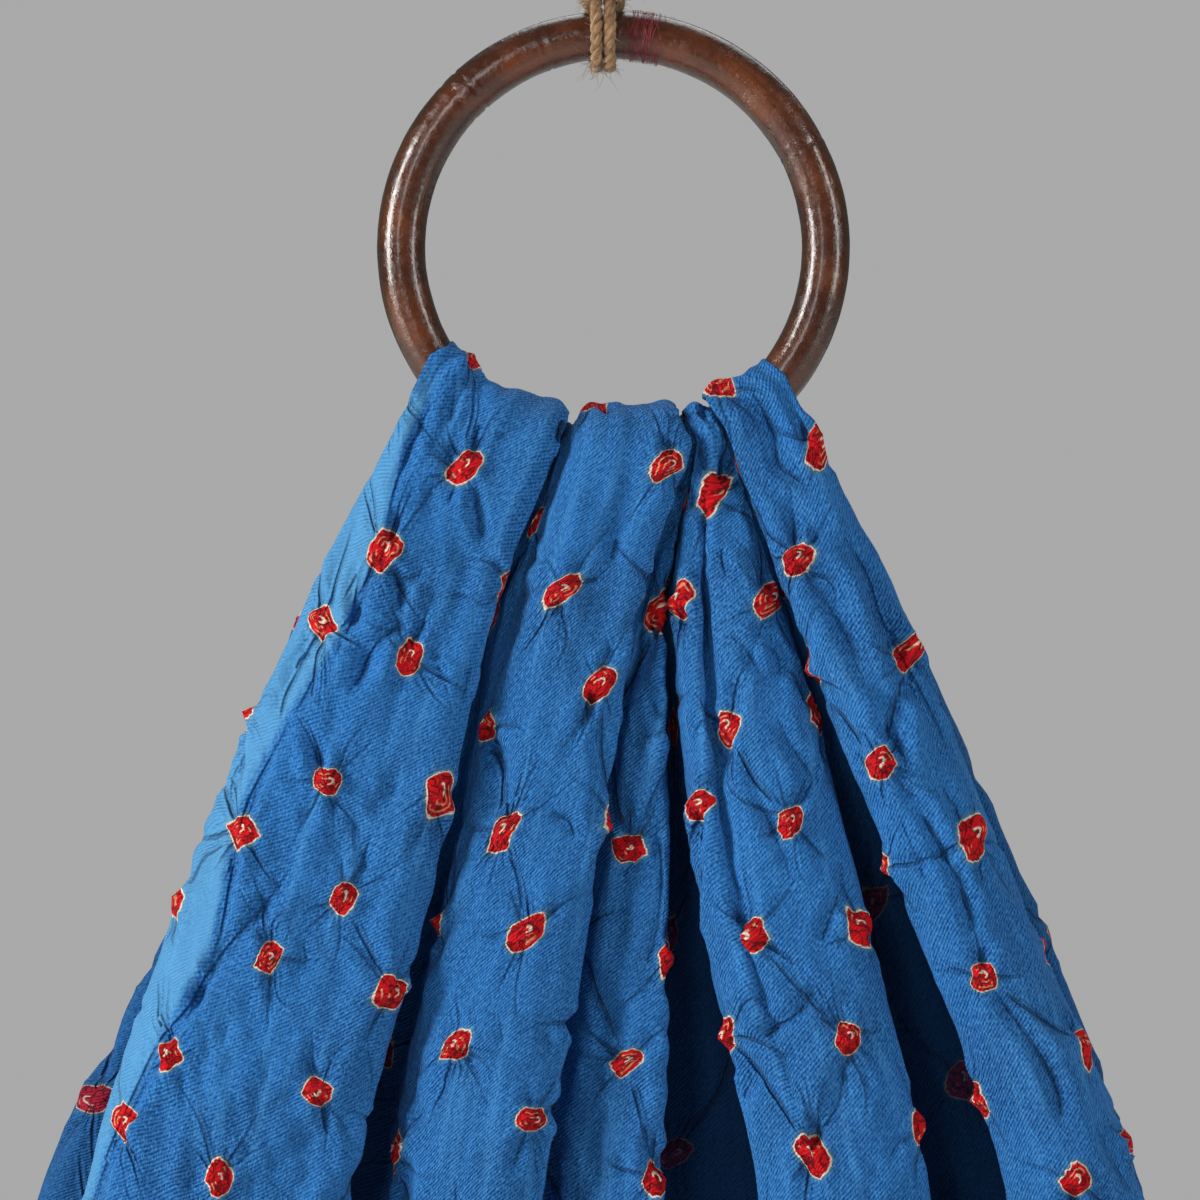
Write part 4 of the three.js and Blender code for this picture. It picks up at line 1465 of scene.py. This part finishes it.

# Creases of the front, large and small, from top left to bottom right: width, depth and points (x, z),
# in millimetres. The points were read, in pixels, along the photograph's creases. For every row
# but the first three, a program turned those pixels into whole millimetres and wrote the row.
FRONT_CREASES = tuple(Crease(*row) for row in (
    (1.2, 0.6, (
        (-36.4, -106), (-42.6, -118), (-46.6, -130), (-48.2, -141), (-52, -149), (-56.6, -159), (-61, -167),
    )),
    (1.2, 0.6, ((-66.6, -174), (-72, -184), (-77, -194), (-80, -208), (-83, -223), (-88, -234), (-94, -244))),
    (1.2, 0.6, ((-94, -244), (-99, -254), (-104.6, -265), (-109, -276), (-113, -286))),
    (1.6, 0.8, (
        (-66, -204), (-71, -212), (-78, -220), (-85, -229), (-89, -236), (-95, -243), (-100, -253),
        (-105, -264), (-110, -277),
    )),
    (1.3, 0.5, ((-76, -182), (-80, -188), (-80, -205), (-82, -212))),
    (1.5, 0.8, ((-64, -160), (-66, -165), (-69, -171), (-70, -176))),
    (1.3, 0.5, ((-63, -161), (-63, -167), (-67, -175))),
    (1.4, 0.7, ((-51, -140), (-53, -144), (-55, -154), (-58, -157), (-60, -158))),
    (1.5, 0.8, ((-43, -155), (-47, -157), (-51, -162), (-53, -167), (-56, -170))),
    (1.2, 0.5, ((-33, -122), (-33, -126), (-35, -131))),
    (1.3, 0.6, ((-31, -123), (-29, -130), (-28, -138))),
    (3.0, 0.8, ((-37, -125), (-40, -130), (-44, -136), (-48, -142))),
    (1.3, 0.5, ((-50, -140), (-53, -144), (-57, -151))),
    (1.4, 0.6, ((-50, -143), (-47, -145), (-42, -146), (-39, -143))),
    (1.2, 0.6, ((-46, -145), (-45, -149), (-45, -153))),
    (1.6, 0.4, ((-35, -149), (-30, -150), (-27, -152))),
    (1.2, 0.4, ((-39, -160), (-36, -166), (-34, -172))),
    (1.3, 0.5, ((-30, -164), (-31, -167), (-32, -172))),
    (1.3, 0.5, ((-33, -101), (-34, -108), (-35, -114))),
    (1.8, 0.4, ((-28, -100), (-28, -108), (-29, -114))),
    (1.3, 0.4, ((-65, -222), (-64, -228))),
    (1.3, 0.4, ((-52, -244), (-51, -251), (-51, -257))),
    (1.4, 0.6, ((-10, -111), (-11, -114), (-12, -117))),
    (1.6, 0.4, ((-21, -151), (-18, -149), (-12, -147))),
    (1.3, 0.5, ((1, -137), (0, -140), (-1, -143))),
    (1.3, 0.5, ((-24, -198), (-26, -201), (-27, -205))),
    (1.3, 0.6, ((-14, -195), (-11, -196), (-9, -197), (-8, -201))),
    (1.3, 0.4, ((-24, -237), (-23, -244))),
    (1.3, 0.4, ((-15, -240), (-14, -243), (-13, -245))),
    (1.3, 0.5, ((8, -172), (9, -174), (10, -176))),
    (1.4, 0.5, ((8, -197), (10, -203), (10, -214), (8, -225), (5, -230))),
    (1.3, 0.6, ((23, -139), (23, -142), (24, -146))),
    (1.4, 0.4, ((13, -125), (16, -129), (19, -133))),
    (1.5, 0.7, ((17, -109), (18, -111), (20, -113))),
    (1.4, 0.5, ((24, -157), (28, -161), (31, -166), (33, -168))),
    (1.4, 0.5, ((31, -159), (34, -162), (35, -167))),
    (1.5, 0.6, ((35, -175), (36, -179), (39, -184), (43, -190))),
    (1.3, 0.5, ((20, -175), (18, -177), (17, -179))),
    (1.4, 0.5, ((21, -175), (22, -179), (23, -184))),
    (1.5, 0.6, ((26, -182), (31, -193), (35, -202), (38, -211))),
    (1.4, 0.6, ((48, -210), (46, -215), (45, -218), (43, -223))),
    (1.4, 0.8, ((43, -231), (40, -235), (38, -238), (33, -241), (31, -244))),
    (1.5, 0.7, ((30, -250), (28, -254), (27, -258), (26, -265))),
    (1.6, 0.8, ((28, -105), (31, -109), (34, -116), (35, -122), (39, -125), (42, -128))),
    (2.2, 0.5, ((40, -139), (43, -148), (48, -157), (54, -170))),
    (1.7, 0.9, ((47, -135), (53, -145), (56, -154), (60, -162), (64, -169), (68, -177), (71, -185))),
    (1.5, 0.7, ((56, -175), (59, -179), (61, -184), (61, -187))),
    (1.3, 0.5, ((51, -182), (54, -186), (57, -189))),
    (1.6, 0.9, ((63, -193), (68, -201), (73, -211), (76, -222))),
    (1.6, 1.0, ((79, -232), (84, -238), (90, -247), (93, -254), (94, -262))),
    (1.3, 0.4, ((60, -195), (66, -210))),
    (1.4, 0.6, ((101, -260), (105, -269), (110, -277))),
))


@dataclass
class Dots:
    """The tied dots, scattered on a staggered lattice over the flat cloth."""

    across: float = 26.5 * MM
    along: float = 23.0 * MM
    jitter: float = 4.2 * MM
    smallest: float = 3.2 * MM
    largest: float = 4.6 * MM
    seed: int = 8

    def scatter(self, low: np.ndarray, high: np.ndarray) -> dict[str, np.ndarray]:
        """Places the dots.

        Args:
            low: the flat cloth's lowest corner.
            high: its highest corner.

        Returns:
            Arrays by name: place, radius, stretch, angle and seed, one entry a dot.
        """
        rng = np.random.default_rng(self.seed)
        rows = np.arange(math.floor(low[1] / self.along), math.ceil(high[1] / self.along) + 1)
        columns = np.arange(math.floor(low[0] / self.across) - 1, math.ceil(high[0] / self.across) + 1)
        row, column = (grid.ravel() for grid in np.meshgrid(rows, columns, indexing="ij"))
        place = np.column_stack([(column + 0.5 * (row % 2)) * self.across, row * self.along])
        place = place + rng.uniform(-self.jitter, self.jitter, place.shape)
        count = len(place)
        return {
            "place": place,
            "radius": rng.uniform(self.smallest, self.largest, count),
            "stretch": rng.uniform(1.05, 1.6, count),
            "angle": rng.normal(math.radians(-55), 0.4, count),
            "seed": rng.uniform(0, 40, count),
        }


@dataclass
class Cloth:
    """The cloth: one sheet over the ring's lower arc, in uneven folds in front and behind."""

    ring_radius: float = RING_RADIUS
    tube_radius: float = WOOD_RADIUS
    ring_z: float = RING_Z
    length: float = 520 * MM
    flat_width: float = 430 * MM
    lift_less: float = 0.62 * MM
    waist_below: float = 74.5
    middle_below: float = 138.0
    low_below: float = 201.4
    hem_below: float = 330.0
    hem_spread: float = 0.45
    straight_drop: float = 6.0
    cell: float = 1.3 * MM
    back_cell: float = 2.6 * MM
    hem_cell: float = 2.3 * MM
    fine_length: float = 206 * MM
    tucked_share: float = 0.5
    turn_steps: int = 9
    columns: int = 308
    hem_roll: float = 0.85 * MM
    edge_roll: float = 0.6 * MM
    anchors: tuple[str, ...] = ("first_middle", "second_outer", "third_left", "crease_right", "fifth_inner")
    dots: Dots = field(default_factory=Dots)
    seed: int = 17
    join_reach: float = 36.0
    join_share: float = 0.4
    wood_gap: float = 0.3 * MM
    calm: dict[Turn, float] = field(
        default_factory=lambda: {Turn.OUTLINE: 0.25, Turn.EDGE: 0.3, Turn.CREASE: 0.75}
    )
    strip_bend: float = 4.5 * MM
    strip_slope: float = 0.9
    side_shade: float = 0.5
    hem_rows: int = 7
    edge_rows: int = 5
    roll_turn: float = math.radians(300)
    hem_allowance: float = 7 * MM
    tucked_take_up: float = 0.6
    even_level: float = 0.7
    far_away: float = 9.0
    chunk: int = 20000

    # Where the folds hang

    def _turned(self, line: FoldLine, face: Face, turns: np.ndarray) -> np.ndarray:
        """Points of a fold line where it turns over the ring.

        Args:
            line: the fold line.
            face: the side that it turns to.
            turns: how far round the wood, from 0 at its crest to a quarter turn.

        Returns:
            A point for each turn.
        """
        angle = line.arc * MM / self.ring_radius
        inward = np.array([-math.sin(angle), 0, math.cos(angle)])
        centre = np.array([0, 0, self.ring_z]) - inward * self.ring_radius
        reach = self.tube_radius + line.lift * MM - self.lift_less
        out = np.outer(np.cos(turns), inward) + np.outer(np.sin(turns), (0, face.value, 0))
        return centre + reach * out

    def _hanging(self, line: FoldLine, face: Face) -> np.ndarray:
        """Closely spaced points of a fold line from the ring's side to past the hem.

        Args:
            line: the fold line.
            face: the side that it hangs on.

        Returns:
            The points.
        """
        start = self._turned(line, face, np.array([math.pi / 2]))[0]
        base = np.array([0, 0, self.ring_z])
        waist, middle, low = (
            np.array(line.station(face, level, below)) * MM + base
            for level, below in (
                ("waist", self.waist_below), ("middle", self.middle_below), ("low", self.low_below)
            )
        )
        share = self.straight_drop * MM / (start[2] - waist[2])
        drop = start + (waist - start) * share
        drop[1] = start[1]
        spread = (low - middle) / (self.low_below - self.middle_below)
        hem = low + spread * (self.hem_below - self.low_below) * self.hem_spread
        hem[2] = self.ring_z - self.hem_below * MM
        points = np.array([start, drop, waist, middle, low, hem])
        return smooth_through(points, np.linspace(0, len(points) - 1, 900))

    def _side(self, face: Face, cell: float) -> tuple[np.ndarray, np.ndarray]:
        """Every fold line on one side of the crest, cut at the same steps.

        Args:
            face: the side.
            cell: the step down the hanging cloth.

        Returns:
            Points by step and fold line, and the flat distance from the crest of each.
        """
        turns = np.linspace(0, math.pi / 2, self.turn_steps + 1)[1:]
        fine = np.arange(cell, self.fine_length, cell)
        coarse_cell = max(cell, self.hem_cell)
        coarse = np.arange(fine[-1] + coarse_cell, self.length / 2 - self.hem_allowance, coarse_cell)
        steps = np.concatenate([fine, coarse])
        points, along = [], []
        for line in FOLD_LINES:
            reach = self.tube_radius + line.lift * MM - self.lift_less
            curve = self._hanging(line, face)
            hanging = self.length / 2 - reach * math.pi / 2
            distances = steps / steps[-1] * hanging
            points.append(np.concatenate([self._turned(line, face, turns), evenly_spaced(curve, distances)]))
            along.append(np.concatenate([turns * reach, reach * math.pi / 2 + distances]))
        return np.stack(points, axis=1), np.stack(along, axis=1)

    def _column_places(self, level: np.ndarray) -> np.ndarray:
        """Places across the fold lines, so that the columns are even at one level.

        Args:
            level: that level's point on each fold line.

        Returns:
            Places from 0 at the first fold line to the count less one at the last.
        """
        fine = np.linspace(0, len(level) - 1, 4000)
        arc = lengths_along(smooth_through(level, fine))
        panels = np.array([line.panel > 0 for line in FOLD_LINES], float)
        weight = self.tucked_share + (1 - self.tucked_share) * np.interp(fine, np.arange(len(level)), panels)
        along = np.concatenate([[0.0], np.cumsum(np.diff(arc) * (weight[1:] + weight[:-1]) / 2)])
        return np.interp(np.linspace(0, along[-1], self.columns), along, fine)

    def _across(self, grid: np.ndarray, places: np.ndarray) -> np.ndarray:
        """The flat distance across the cloth of each point.

        Shown panels keep their true width at every level, and what is tucked behind them takes up the rest.

        Args:
            grid: points by level and column.
            places: each column's place across the fold lines.

        Returns:
            The distance by level and column.
        """
        arc = lengths_along(grid.transpose(1, 0, 2)).T
        names = [line.name for line in FOLD_LINES]
        panels = np.array([line.panel for line in FOLD_LINES])
        edges, middles = [], []
        for number, anchor in enumerate(self.anchors, start=1):
            own = np.flatnonzero(panels == number)
            edges.append([int(np.searchsorted(places, own[0])), int(np.searchsorted(places, own[-1]))])
            middles.append(int(np.searchsorted(places, names.index(anchor))))
        edges[-1][1] = self.columns - 1
        at = [0.0]
        for number in range(1, len(self.anchors)):
            right = arc[:, edges[number - 1][1]] - arc[:, middles[number - 1]]
            left = arc[:, middles[number]] - arc[:, edges[number][0]]
            tucked = arc[:, edges[number][0]] - arc[:, edges[number - 1][1]]
            at.append(at[-1] + float((right + left + self.tucked_take_up * tucked).max()))
        across = np.empty_like(arc)
        for number, (first, last) in enumerate(edges):
            span = slice(first, last + 1)
            across[:, span] = at[number] + arc[:, span] - arc[:, middles[number]][:, None]
        for before, after in zip(edges[:-1], edges[1:]):
            span = slice(before[1], after[0] + 1)
            part = arc[:, span] - arc[:, before[1]][:, None]
            share = part / part[:, -1:]
            low, high = across[:, before[1]][:, None], across[:, after[0]][:, None]
            across[:, span] = low + (high - low) * share
        return across - (across.max() + across.min()) / 2

    @staticmethod
    def _normals(grid: np.ndarray) -> np.ndarray:
        """The outward normal at each point of the grid."""
        down = np.gradient(grid, axis=0)
        aside = np.gradient(grid, axis=1)
        normal = np.cross(down, aside)
        return normal / np.maximum(np.linalg.norm(normal, axis=-1, keepdims=True), 1e-12)

    # Wrinkles

    def _calm(self, places: np.ndarray) -> np.ndarray:
        """A factor for each column that calms the wrinkles where the cloth turns out of sight.

        Args:
            places: each column's place across the fold lines.

        Returns:
            The factor by column, 1 where nothing is calmed.
        """
        names = [line.name for line in FOLD_LINES]
        factor = np.ones(len(places))
        for turn in Turn:
            for name in turn.value:
                factor -= (1 - self.calm[turn]) * np.exp(-(((places - names.index(name)) / 0.8) ** 2))
        return np.clip(factor, 0.15, 1)[None]

    def _left_strip(self, grid: np.ndarray, back_rows: int) -> tuple[np.ndarray, np.ndarray]:
        """The strip at the left outline of the front, which bends back along a firm fold line.

        Args:
            grid: points by level and column.
            back_rows: the number of levels behind the crest.

        Returns:
            How far back each point bends, and a mask of the strip, where the cotton is painted lighter as
            painted light.
        """
        line = np.array(STRIP_FOLD) * MM
        fold_x = np.interp(grid[..., 2], line[::-1, 1], line[::-1, 0])
        beyond = fold_x - grid[..., 0]
        level = np.arange(len(grid))[:, None]
        below = self.ring_z - grid[..., 2]
        front = (level > back_rows + 2) * fade(grid[..., 0], -20 * MM, -28 * MM)
        bend = self.strip_bend * (1 - np.exp(-np.maximum(beyond, 0) * self.strip_slope / self.strip_bend))
        mask = fade(beyond, -0.3 * MM, 1.2 * MM) * fade(below, 24 * MM, 36 * MM)
        return bend * front * fade(below, 32 * MM, 52 * MM), mask * front

    def _shade(self, grid: np.ndarray, places: np.ndarray, shown: np.ndarray, back_rows: int) -> np.ndarray:
        """The painted shade of each point: deep in a gap between folds, or on the back behind the front's
        outlines.

        Args:
            grid: points by level and column.
            places: each column's place across the fold lines.
            shown: 1 on the panels and 0 where the cloth is tucked.
            back_rows: the number of levels behind the crest.

        Returns:
            The painted shade of each point, from 0 to 1.
        """
        front = fade(grid[..., 1], -8 * MM, 8 * MM)
        back = fade(grid[..., 1], 22 * MM, 7 * MM)
        deep = np.where(np.arange(len(grid))[:, None] > back_rows, front, back)
        low = fade(self.ring_z - grid[..., 2], 60 * MM, 90 * MM)
        last = len(FOLD_LINES) - 1
        side = np.maximum(fade(places, 2.6, 2.0), fade(places, last - 2.6, last - 2.0))
        turned_in = side * (np.arange(len(grid))[:, None] < back_rows)
        return low * np.maximum(deep * (1 - shown), self.side_shade * turned_in)

    def _relief(self, places: np.ndarray, flat: np.ndarray, shown: np.ndarray) -> np.ndarray:
        """How far the cloth's soft wrinkles and tied dots stand off its folds, in metres.

        Args:
            places: each column's place across the fold lines.
            flat: the flat place of each point, by level and column.
            shown: 1 on the panels and 0 where the cloth is tucked.

        Returns:
            The height of each point.
        """
        across, along = flat[..., 0], flat[..., 1]
        away = np.abs(along)
        near_ring = fade(away, 120 * MM, 15 * MM)
        off_ring = fade(away, 12 * MM, 70 * MM)
        gathers, waves, crinkle, folds, fine, patch = (Ripple(self.seed + number) for number in range(6))
        height = near_ring * (0.5 + 1.7 * gathers.at(across / (7.5 * MM), along / (85 * MM)))
        height += 0.45 * near_ring * gathers.at(across / (3.6 * MM) + 40, along / (45 * MM))
        height += 1.9 * off_ring * waves.at(across / (24 * MM), along / (60 * MM))
        crumpled = 0.65 + 0.7 * patch.at(across / (38 * MM), along / (38 * MM))
        valleys = np.abs(crinkle.at((across + 0.35 * along) / (10 * MM), along / (30 * MM))) - 0.25
        ridges = 0.25 - np.abs(folds.at((across - 0.5 * along) / (7 * MM), along / (20 * MM)))
        height += (2.0 * valleys + 1.7 * ridges) * crumpled * fade(away, 10 * MM, 40 * MM)
        streaks = 0.3 - np.abs(folds.at(across / (6 * MM) + 9, along / (26 * MM) + 5))
        height += 1.0 * streaks * crumpled * fade(away, 10 * MM, 30 * MM)
        height += 0.5 * fine.at(across / (5 * MM), along / (8.5 * MM))
        return height * MM * (0.25 + 0.75 * shown) * self._calm(places)

    def _tie_creases(self, dots: dict[str, np.ndarray]) -> list[Crease]:
        """Creases that each tie pulled into the flat cloth: short rays, and longer ones from dot to dot.

        Args:
            dots: the dots, as Dots.scatter gives them.

        Returns:
            The creases, with points across and along the flat cloth.
        """
        rng = np.random.default_rng(self.seed)
        places = dots["place"] / MM
        creases = []
        for place, radius in zip(places, dots["radius"] / MM):
            for _ in range(rng.integers(6, 11)):
                angle = rng.choice((-1, 1)) * math.pi / 2 + rng.normal(0, 0.62)
                way = np.array([math.cos(angle), math.sin(angle)])
                bend = np.array([-way[1], way[0]]) * rng.normal(0, 0.9)
                start = place + way * radius * 0.9
                long = rng.uniform(5.0, 17.0)
                points = (start, start + way * long * 0.5 + bend, start + way * long)
                creases.append(
                    Crease(rng.uniform(0.9, 1.8), rng.uniform(0.6, 1.4), tuple(map(tuple, points)), Taper.END)
                )
            gaps = np.linalg.norm(places - place, axis=1)
            lower = np.flatnonzero((gaps < self.join_reach) & (places[:, 1] > place[1] + 8))
            if len(lower) and rng.random() < self.join_share:
                other = places[rng.choice(lower)]
                way = (other - place) / np.linalg.norm(other - place)
                bend = np.array([-way[1], way[0]]) * rng.normal(0, 1.2)
                points = (place + way * 4.5, (place + other) / 2 + bend, other - way * 4.5)
                creases.append(
                    Crease(rng.uniform(1.8, 3.2), rng.uniform(0.9, 1.9), tuple(map(tuple, points)))
                )
        return creases

    def _dot_places(self, flat: np.ndarray, dots: dict[str, np.ndarray]) -> np.ndarray:
        """The number of the nearest dot of each flat place."""
        nearest = np.empty(len(flat), int)
        for start in range(0, len(flat), self.chunk):
            part = flat[start:start + self.chunk, None] - dots["place"][None]
            nearest[start:start + self.chunk] = (part ** 2).sum(-1).argmin(axis=1)
        return nearest

    @staticmethod
    def _in_dot(flat: np.ndarray, which: np.ndarray, dots: dict[str, np.ndarray]) -> np.ndarray:
        """Flat places in the own axes of given dots, in radii."""
        away = flat - dots["place"][which]
        cos, sin = np.cos(dots["angle"][which]), np.sin(dots["angle"][which])
        radius, stretch = dots["radius"][which], np.sqrt(dots["stretch"][which])
        first = (away[..., 0] * cos + away[..., 1] * sin) / (radius * stretch)
        second = (away[..., 1] * cos - away[..., 0] * sin) / (radius / stretch)
        return np.stack([first, second], axis=-1)

    # The mesh

    def _roll(
        self, edge: np.ndarray, before: np.ndarray, normal: np.ndarray, radius: float, turns: int
    ) -> np.ndarray:
        """Rows that turn an edge of the sheet into a narrow roll on its inner side.

        Args:
            edge: the points of the edge.
            before: the points of the row before it.
            normal: the outward normal along the edge.
            radius: the roll's radius.
            turns: how many rows.

        Returns:
            The rows, nearest first.
        """
        way = edge - before
        way /= np.linalg.norm(way, axis=-1, keepdims=True)
        angles = np.linspace(0, self.roll_turn, turns + 1)[1:]
        return np.stack(
            [edge + radius * (way * math.sin(angle) + normal * (math.cos(angle) - 1)) for angle in angles]
        )

    def _rolled(self, grid: np.ndarray, flat: np.ndarray) -> tuple[np.ndarray, np.ndarray]:
        """The sheet with a narrow rolled hem at both ends and a finer one down both sides.

        Args:
            grid: points by level and column.
            flat: their flat places.

        Returns:
            The larger grid and its flat places.
        """
        rolls = ((self.hem_roll, self.hem_rows, 1), (self.edge_roll, self.edge_rows, -1))
        for radius, rows, turned in rolls:
            normals = self._normals(grid) * turned
            end = self._roll(grid[-1], grid[-2], normals[-1], radius, rows)
            start = self._roll(grid[0], grid[1], normals[0], radius, rows)[::-1]
            step = radius * self.roll_turn / rows * np.arange(1, rows + 1)[:, None, None]
            way_end = (flat[-1] - flat[-2]) / np.linalg.norm(flat[-1] - flat[-2], axis=-1, keepdims=True)
            way_start = (flat[0] - flat[1]) / np.linalg.norm(flat[0] - flat[1], axis=-1, keepdims=True)
            grid = np.concatenate([start, grid, end])
            flat = np.concatenate([flat[0] + way_start * step[::-1], flat, flat[-1] + way_end * step])
            grid, flat = grid.transpose(1, 0, 2), flat.transpose(1, 0, 2)
        return grid, flat

    def build(self, shared: SharedEffects) -> bpy.types.Object:
        """Args:
            shared: the shader groups.

        Returns:
            The piece.
        """
        back, back_along = self._side(Face.BACK, self.back_cell)
        front, front_along = self._side(Face.FRONT, self.cell)
        crest = np.stack([self._turned(line, Face.FRONT, np.zeros(1))[0] for line in FOLD_LINES])
        lines = np.concatenate([back[::-1], crest[None], front])
        along = np.concatenate([-back_along[::-1], np.zeros((1, len(FOLD_LINES))), front_along])
        low_row = len(back) + 1 + int(len(front) * self.even_level)
        places = self._column_places(lines[low_row])
        grid = smooth_through(lines.transpose(1, 0, 2), places).transpose(1, 0, 2)
        span = np.arange(len(FOLD_LINES))
        flat_along = np.stack([np.interp(places, span, row) for row in along])
        flat = np.stack([self._across(grid, places), flat_along], axis=-1)
        panels = np.array([line.panel > 0 for line in FOLD_LINES], float)
        shown = np.interp(places, span, panels)[None] * np.ones((len(grid), 1))
        normals = self._normals(grid)
        height = self._relief(places, flat, shown)
        dots = self.dots.scatter(flat.min(axis=(0, 1)), flat.max(axis=(0, 1)))
        which = self._dot_places(flat.reshape(-1, 2), dots).reshape(flat.shape[:2])
        reach = np.linalg.norm(self._in_dot(flat, which, dots), axis=-1)
        dome = 0.75 * np.exp(-((reach / 0.95) ** 2)) - 0.25 * np.exp(-(((reach - 1.4) / 0.35) ** 2))
        height += dome * MM * (0.3 + 0.7 * shown)
        level = np.arange(len(grid))[:, None] * np.ones((1, grid.shape[1]))
        in_front = (level > len(back) + 3) & (shown > 0.5) & (normals[..., 1] < -0.15)
        book = CreaseBook(self._tie_creases(dots), list(FRONT_CREASES))
        hanging = np.where(in_front[..., None], grid[..., [0, 2]], self.far_away)
        troughs = book.height(flat.reshape(-1, 2), hanging.reshape(-1, 2)).reshape(height.shape)
        height += troughs * (0.3 + 0.7 * shown)
        height = np.maximum(height, self.wood_gap - self._off_wood(grid))
        grid = grid + normals * height[..., None]
        bend, strip = self._left_strip(grid, len(back))
        grid[..., 1] += bend
        hanging = np.where(in_front[..., None], grid[..., [0, 2]], self.far_away)
        log.info("cloth across %.0f mm, shown panels true", np.ptp(flat[..., 0]) / MM)
        wide, wide_flat = self._rolled(grid, flat)
        pad = [(self.hem_rows,) * 2, (self.edge_rows,) * 2, (0, 0)]
        wide_hanging = np.pad(hanging, pad, constant_values=self.far_away)
        # Painted shade: deep says how far each point of the cotton is darkened.
        deep = self._shade(grid, places, shown, len(back))
        # The strip mask goes into the attribute too, for the cotton's painted light.
        shade = np.pad(np.stack([deep, strip, np.zeros_like(strip)], axis=-1), pad)
        obj = self._mesh(wide, wide_flat, wide_hanging, dots, book)
        write_mark(obj.data, "shade", "POINT", shade)
        piece = mount_piece(obj, DyedCotton().material(shared))
        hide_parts("cloth")
        return piece

    def _off_wood(self, grid: np.ndarray) -> np.ndarray:
        """The distance of each point from the ring's wood."""
        out = np.hypot(grid[..., 0], grid[..., 2] - self.ring_z) - self.ring_radius
        return np.hypot(out, grid[..., 1]) - self.tube_radius

    def _mesh(
        self,
        grid: np.ndarray,
        flat: np.ndarray,
        hanging: np.ndarray,
        dots: dict[str, np.ndarray],
        book: CreaseBook,
    ) -> bpy.types.Object:
        """Makes the sheet's mesh, with its UV map and the corner attributes dot and crease.

        Args:
            grid: points by level and column.
            flat: their flat places.
            hanging: x and z of those on the front's panels, and far away for the rest.
            dots: the tied dots.
            book: the creases.

        Returns:
            The object, linked to the scene.
        """
        levels, columns = grid.shape[:2]
        number = np.arange(levels * columns).reshape(levels, columns)
        around = (number[:-1, :-1], number[1:, :-1], number[1:, 1:], number[:-1, 1:])
        faces = np.stack(around, axis=-1).reshape(-1, 4)
        data = bpy.data.meshes.new("dyed_cloth")
        data.vertices.add(levels * columns)
        data.vertices.foreach_set("co", grid.astype(np.float32).ravel())
        data.loops.add(faces.size)
        data.loops.foreach_set("vertex_index", faces.ravel())
        data.polygons.add(len(faces))
        data.polygons.foreach_set("loop_start", np.arange(0, faces.size, 4))
        data.update(calc_edges=True)
        data.validate()
        corners = flat.reshape(-1, 2)[faces]
        write_flat(data, corners)
        which = self._dot_places(corners.mean(axis=1), dots)
        local = self._in_dot(corners, np.repeat(which[:, None], 4, axis=1), dots)
        seeds = np.repeat(dots["seed"][which][:, None, None], 4, axis=1)
        write_mark(data, "dot", "CORNER", np.concatenate([local, seeds], axis=-1))
        write_mark(data, "crease", "CORNER", book.grooves(corners, hanging.reshape(-1, 2)[faces]))
        log.info("cloth of %d faces", len(faces))
        return smooth_object("dyed_cloth", data)


def main() -> None:
    """Builds the object piece by piece."""
    logging.basicConfig(level=logging.INFO, format="%(message)s")
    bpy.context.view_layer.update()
    studio = Studio()
    studio.camera()
    studio.lights()
    studio.floor()
    shared = SharedEffects()
    twine = Twine()
    for piece in twine.build(shared):
        log.info("made %s", piece.name)
    for maker in (RedThreads(), Ring(), Cloth()):
        log.info("made %s", maker.build(shared).name)


if __name__ == "__main__":
    main()
